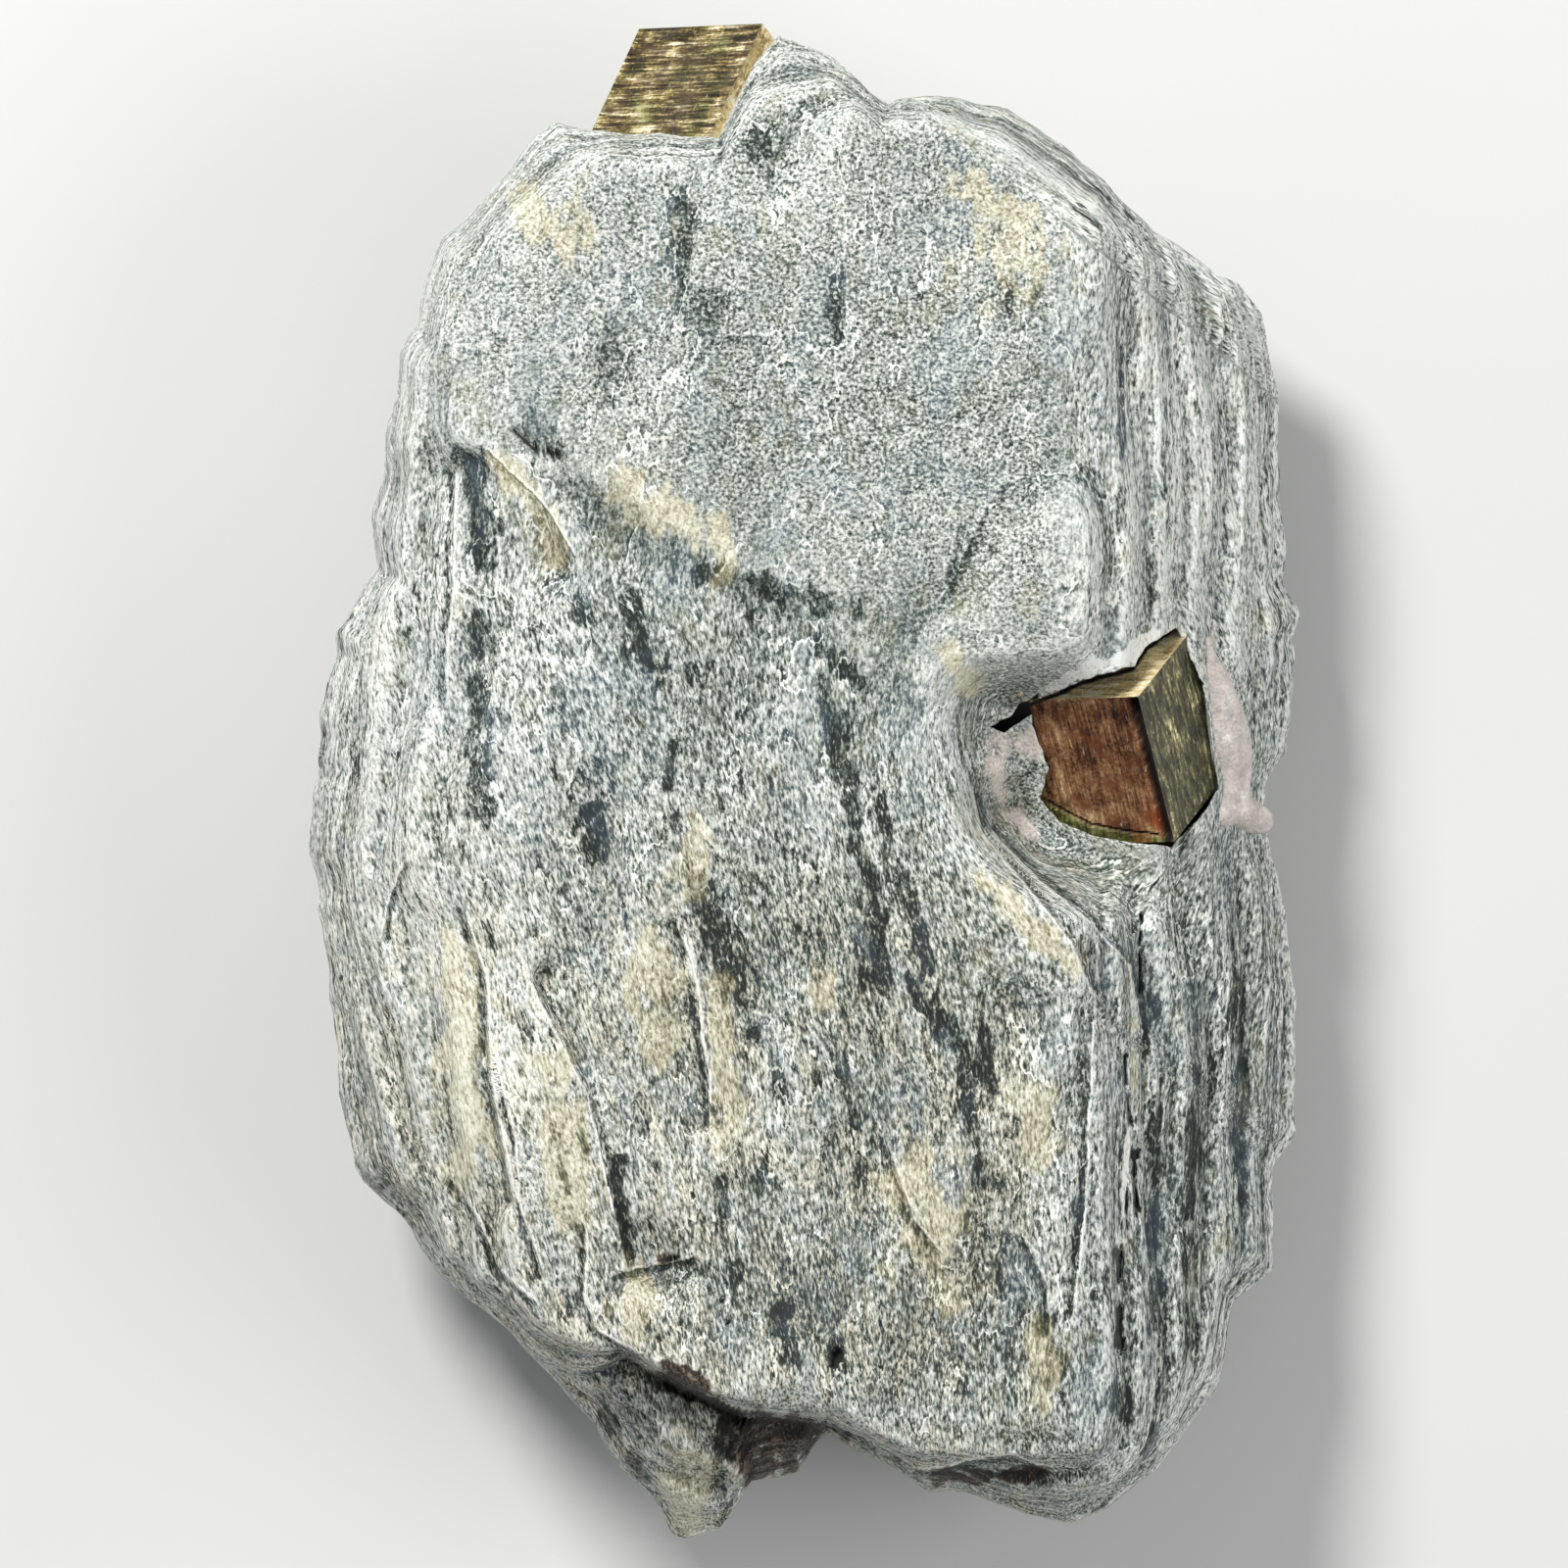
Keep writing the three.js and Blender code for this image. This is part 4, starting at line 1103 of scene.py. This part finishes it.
def quartz_material():
    paint = Paint("quartz")
    place = paint.vector("local")
    cloud = paint.noise(place, 0.8, 4, 0.6)
    specks = paint.noise(place, 4.5, 3, 0.7)
    tone = paint.weighted((cloud, 0.6), (specks, 0.5), (1.0, -0.05))
    shade = paint.ramp(tone, [(0.3, "98908a"), (0.5, "bbb3ac"), (0.62, "d3ccc5"), (0.75, "ece6de")])
    normal = paint.bump(specks, 0.00018, 0.7)
    return paint.finish(
        Base_Color=shade, Roughness=0.42, Normal=normal, Subsurface_Weight=0.15, Subsurface_Scale=0.001,
    )


def floor_material():
    paint = Paint("floor")
    place = paint.node("ShaderNodeTexCoord").outputs["Object"]
    cloud = paint.noise(place, 9, 3, 0.5)
    shade = paint.ramp(cloud, [(0.3, "c2c2c0"), (0.7, "cacac8")])
    return paint.finish(Base_Color=shade, Roughness=0.6)


# Pieces

def add_piece(name, mesh, material, slot, *nodes):
    """A shown piece that stands for CAD nodes and rides with the specimen."""
    piece = placed(name, mesh)
    if material:
        mesh.materials.clear()
        mesh.materials.append(material)
    if nodes:
        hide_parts(*nodes)
    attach(piece, "root")


def side_of(mesh, name, wanted):
    """A copy of the mesh that keeps only the faces with a wanted material number."""
    kept = bmesh.new()
    kept.from_mesh(mesh)
    unwanted = [face for face in kept.faces if face.material_index not in wanted]
    bmesh.ops.delete(kept, geom=unwanted, context="FACES")
    for face in kept.faces:
        face.material_index = 0
        face.smooth = True
    side = bpy.data.meshes.new(name)
    kept.to_mesh(side)
    kept.free()
    return side


def make_schist():
    whole = body_mesh()
    for outline in (SIDE_WINDOW, GAP_WINDOW):
        whole = cut_mesh(whole, window_cutter(outline))
    write_schist_values(whole)
    material = schist_material()
    add_piece("schist_front", side_of(whole, "schist_front", (FRONT, CUT)), material, "schist", "schist")
    add_piece("schist_back", side_of(whole, "schist_back", (BACK,)), material, "schist", "schist")


def crystal_place(crystal):
    """A crystal's turn and centre, as a matrix from its own millimetres to the row frame."""
    right, up, front = crystal_axes(crystal)
    half = crystal["edge"] / 2
    centre = Vector(crystal["corner"]) - (right + up + front) * half
    turn = Matrix((right, up, front)).transposed().to_4x4()
    return Matrix.Translation(centre * MM) @ turn @ Matrix.Scale(MM, 4)


def make_crystal(name, crystal, relief, materials):
    """A cube with fine relief on its faces. Its materials are for front, right, and the rest."""
    cube = bmesh.new()
    bmesh.ops.create_cube(cube, size=crystal["edge"])
    bmesh.ops.subdivide_edges(cube, edges=cube.edges[:], cuts=CRYSTAL_CUTS, use_grid_fill=True)
    mesh = bpy.data.meshes.new(name)
    cube.faces.ensure_lookup_table()
    for face in cube.faces:
        face.smooth = False
        if face.normal.z > 0.5:
            face.material_index = 0
        elif face.normal.x > 0.5:
            face.material_index = 1
        else:
            face.material_index = 2
    cube.to_mesh(mesh)
    cube.free()
    points = read_vectors(mesh.vertices, "co")
    write_vector(mesh, "local", points)
    moved, values = relief(points, crystal["edge"] / 2)
    place = crystal_place(crystal)
    x, y, _ = (points @ np.array(place.to_3x3()).T + np.array(place.translation)).T / MM
    # A painted shadow along the crack, under the schist's lip.
    gap = 1 - smooth(beside_path(x, y, GAP_PATH)[0], GAP_WIDTH, GAP_WIDTH + GAP_FADING)
    values["sunk"] = np.maximum(values["sunk"], gap)
    for key, value in values.items():
        write_value(mesh, key, value)
    mesh.vertices.foreach_set("co", moved.reshape(-1))
    for material in materials:
        mesh.materials.append(material)
    mesh.transform(place)
    mesh.update()
    add_piece(name + "_crystal", mesh, None, "pyrite", name)


def striated(along, across, seed):
    """Depth of growth striations: long steps that run along, and change across."""
    coarse = noise(across / 0.9, along / 7, seed=seed)
    fine = noise(across / 0.35, along / 3.5, seed=seed + 1)
    return np.clip(0.5 + 0.5 * coarse + 0.35 * fine, 0, 1.4)


def faces_of(points, half, edge):
    """Masks of a cube's front, right, top and left faces, easing to 0 at their edges."""
    x, y, z = points.T
    inner = [smooth(half - np.abs(axis), 0.0, edge) for axis in (x, y, z)]
    front = (z > half - 1e-3) * inner[0] * inner[1]
    right = (x > half - 1e-3) * inner[1] * inner[2]
    top = (y > half - 1e-3) * inner[0] * inner[2]
    left = (x < -half + 1e-3) * inner[1] * inner[2]
    return front, right, top, left


def side_relief(points, half):
    """Striations, the notch down the near edge and the crack low on the front face."""
    x, y, z = points.T
    front, right, top, _ = faces_of(points, half, 0.3)
    on_front = z > half - 1e-3
    width = blend(*NOTCH_WIDTHS, (y + half) / (2 * half))
    from_notch = np.abs(half - x - NOTCH_INSET + 0.06 * noise(y / 0.7, 3.0, seed=53))
    notch = 1 - smooth(from_notch, width, width + 0.12)
    crack_distance, below = beside_path(x, y, SIDE_CRACK)
    crack_distance = crack_distance + 0.05 * noise(x / 0.4, y / 0.4, seed=52)
    crack = 1 - smooth(crack_distance, CRACK_WIDTH, CRACK_WIDTH + 0.1)
    grooves = SIDE_STRIATIONS["front"] * striated(y, x, 50)
    moved = points.copy()
    moved[:, 2] -= front * (grooves + NOTCH_DEPTH * notch + CRACK_DEPTH * crack)
    moved[:, 0] -= right * SIDE_STRIATIONS["right"] * striated(y, z, 54)
    moved[:, 1] -= top * SIDE_STRIATIONS["top"] * striated(x, z, 57)
    buried = (1 - smooth(x, -2.6, -2.2)) * smooth(y, 1.5, 2.5)
    lower_left = smooth(-0.8 * y - x, 2.2, 5.5) * 0.6
    ragged = 0.5 + 0.8 * noise(x / 1.5, y / 1.5, seed=55)
    # sunk darkens the notch, the crack and the part under the schist's lip: painted shade.
    values = {
        "sunk": on_front * np.maximum(np.maximum(notch, crack), buried),
        # Olive: an olive tint low on the left of the front face, and below the crack a painted reflection.
        "olive": on_front * np.clip(np.maximum(lower_left * ragged * 1.5, smooth(below, 0, 0.15)), 0, 1),
        # Painted reflection: orange towards the front face's right edge.
        "painted_reflection": on_front * smooth(x - 0.6 * y, 4.2, 6.5) * np.clip(ragged, 0, 1),
        "crackled": (y > half - 1e-3) * 1.0,
    }
    return moved, values


def top_relief(points, half):
    """Striations and patches of painted shade on the front, and steps on the sides."""
    x, y, z = points.T
    front, right, top, left = faces_of(points, half, 0.25)
    on_front = z > half - 1e-3
    moved = points.copy()
    moved[:, 2] -= front * TOP_STRIATIONS["front"] * striated(x, y, 61)
    moved[:, 0] -= right * TOP_STRIATIONS["right"] * striated(z, y, 64)
    moved[:, 1] -= top * TOP_STRIATIONS["top"] * striated(x, z, 67)
    moved[:, 0] += left * TOP_STRIATIONS["left"] * striated(z, y, 70)
    values = {
        # Painted shade: darker, duller patches on the front face, most in its middle.
        "sunk": on_front * 0.5 * smooth(noise(x / 2.6, y / 1.9, seed=73) - 0.08 * np.abs(x), -0.3, 0.3),
        "olive": on_front * smooth(noise(x / 2.2, y / 2.2, seed=72), 0.0, 0.4) * 0.7,
        "painted_reflection": np.zeros(len(points)),
        "crackled": (x > half - 1e-3) * 0.5,
    }
    return moved, values


def make_chip(material):
    """A thin chip of pyrite that lies on the schist above the open crack."""
    chip = bmesh.new()
    height = float(face_height(np.array(CHIP[0][0]), np.array(CHIP[0][1])))
    corners = [chip.verts.new((x, y, height - CHIP_SUNK)) for x, y in CHIP]
    face = chip.faces.new(corners)
    raised = bmesh.ops.extrude_face_region(chip, geom=[face])["geom"]
    for part in raised:
        if isinstance(part, bmesh.types.BMVert):
            part.co.z += CHIP_THICKNESS
    bmesh.ops.bevel(chip, geom=chip.edges[:], offset=CHIP_BEVEL, segments=2, affect="EDGES")
    bmesh.ops.triangulate(chip, faces=chip.faces[:])
    bmesh.ops.subdivide_edges(chip, edges=chip.edges[:], cuts=3, use_grid_fill=True)
    bmesh.ops.recalc_face_normals(chip, faces=chip.faces[:])
    mesh = bpy.data.meshes.new("pyrite_chip")
    chip.to_mesh(mesh)
    chip.free()
    points = read_vectors(mesh.vertices, "co")
    write_vector(mesh, "local", points)
    write_value(mesh, "crackled", np.ones(len(points)))
    for name in ("sunk", "olive", "painted_reflection"):
        write_value(mesh, name, np.zeros(len(points)))
    points[:, 2] += 0.1 * noise(*(points / 0.5).T, seed=75)
    mesh.vertices.foreach_set("co", (points * MM).reshape(-1))
    add_piece("pyrite_chip", mesh, material, "pyrite")


def make_crystals():
    brown = pyrite_material("pyrite_brown", [
        (0.3, "2e1b12"), (0.43, "6c4732"), (0.53, "986e4e"), (0.64, "bd9169"), (0.76, "ecd3a8"),
    ], (3, 0.3, 3), "7c452b", streaks=0.9, rough=0.38, metal=0.75)
    olive = pyrite_material("pyrite_olive", [
        (0.3, "1e1c13"), (0.46, "484531"), (0.58, "6e6948"), (0.72, "b2aa7e"), (0.8, "f4eec6"),
    ], (2, 0.45, 2), "4a4a33", metal=0.8)
    # Gold: pyrite's brass colour made pale, near white and little metallic, so that the top faces and the
    # chip read bright even in shade: partly painted highlight.
    gold = pyrite_material("pyrite_gold", [
        (0.3, "7d6838"), (0.44, "c9ad70"), (0.56, "efd9a0"), (0.7, "fff3cf"), (0.8, "fffbea"),
    ], (0.3, 1.6, 1.8), "e0c488", rough=0.28, metal=0.2)
    top_front = pyrite_material("pyrite_mottled", [
        (0.3, "1c160d"), (0.42, "4c3f22"), (0.52, "7e6c3f"), (0.62, "c4ad72"), (0.72, "fffadd"),
    ], (0.22, 2.4, 2.4), "4e3d2c", rough=0.3, metal=0.75)
    make_chip(gold)
    make_crystal("pyrite_side", SIDE_CRYSTAL, side_relief, (brown, olive, gold))
    make_crystal("pyrite_top", TOP_CRYSTAL, top_relief, (top_front, gold, gold))


def strung(beads):
    """Beads with more beads set between them, so that they run together."""
    chain = []
    for start, end in zip(beads, beads[1:]):
        for step in range(QUARTZ_STEPS):
            chain.append([blend(a, b, step / QUARTZ_STEPS) for a, b in zip(start, end)])
    return chain + [list(beads[-1])]


def make_quartz():
    """The quartz beads, run together and made lumpy."""
    lumps = bmesh.new()
    for x, y, radius in strung(QUARTZ_BEADS) + strung(QUARTZ_FILM):
        height = float(face_height(np.array(x), np.array(y))) - QUARTZ_SUNK * radius
        place = Matrix.Translation(Vector((x, y, height)) * MM) @ Matrix.Scale(QUARTZ_SPREAD, 4, (1, 0, 0))
        bmesh.ops.create_icosphere(lumps, subdivisions=3, radius=radius * MM, matrix=place)
    mesh = bpy.data.meshes.new("quartz_lumps")
    lumps.to_mesh(mesh)
    lumps.free()
    thing = placed("quartz_lumps", mesh)
    joined = thing.modifiers.new("joined", "REMESH")
    joined.mode = "VOXEL"
    joined.voxel_size = QUARTZ_VOXEL * MM
    evened = thing.modifiers.new("evened", "SMOOTH")
    evened.iterations = QUARTZ_EVENING
    quartz = with_modifiers(thing)
    bpy.data.objects.remove(thing)
    points = read_vectors(quartz.vertices, "co") / MM
    normals = read_vectors(quartz.vertices, "normal")
    lump = 0.12 * noise(*(points / 1.6).T, seed=90) + 0.05 * noise(*(points / 0.45).T, seed=91)
    points = points + normals * (lump + 0.05)[:, None]
    quartz.vertices.foreach_set("co", (points * MM).reshape(-1))
    write_vector(quartz, "local", points)
    for face in quartz.polygons:
        face.use_smooth = True
    add_piece("quartz_mass", quartz, quartz_material(), "quartz", "quartz_fringe")


# Floor, light and camera

def make_floor():
    mesh = bpy.data.meshes.new("floor")
    corners = [(x * FLOOR_REACH, y * FLOOR_REACH, 0) for x, y in ((-1, -1), (1, -1), (1, 1), (-1, 1))]
    mesh.from_pydata(corners, [], [(0, 1, 2, 3)])
    mesh.materials.append(floor_material())
    placed("floor", mesh)


def add_light(name, place, size, power):
    light = bpy.data.lights.new(name, "AREA")
    light.shape = "DISK"
    light.size = size
    light.energy = power
    lamp = placed(name, light)
    lamp.location = place
    lamp.rotation_euler = (-Vector(place)).to_track_quat("-Z", "Y").to_euler()


def make_light():
    add_light("key", *KEY_LIGHT)
    add_light("fill", *FILL_LIGHT)
    world = bpy.data.worlds.new("studio")
    world.use_nodes = True
    background = world.node_tree.nodes["Background"]
    background.inputs["Color"].default_value = SKY_COLOUR
    background.inputs["Strength"].default_value = SKY_STRENGTH
    bpy.context.scene.world = world
    bpy.context.scene.view_settings.view_transform = "Standard"


def make_camera():
    camera = bpy.data.cameras.new("camera")
    camera.sensor_width = SENSOR_WIDTH_MM
    camera.lens = SENSOR_WIDTH_MM * CAMERA_HEIGHT / VIEW_WIDTH
    camera.clip_start, camera.clip_end = CAMERA_RANGE
    stand = placed("camera", camera)
    stand.location = (Vector(LOOK_AT) + Vector((0, 0, CAMERA_HEIGHT))) * MM
    bpy.context.scene.camera = stand


make_camera()
make_floor()
make_light()
make_schist()
make_crystals()
make_quartz()
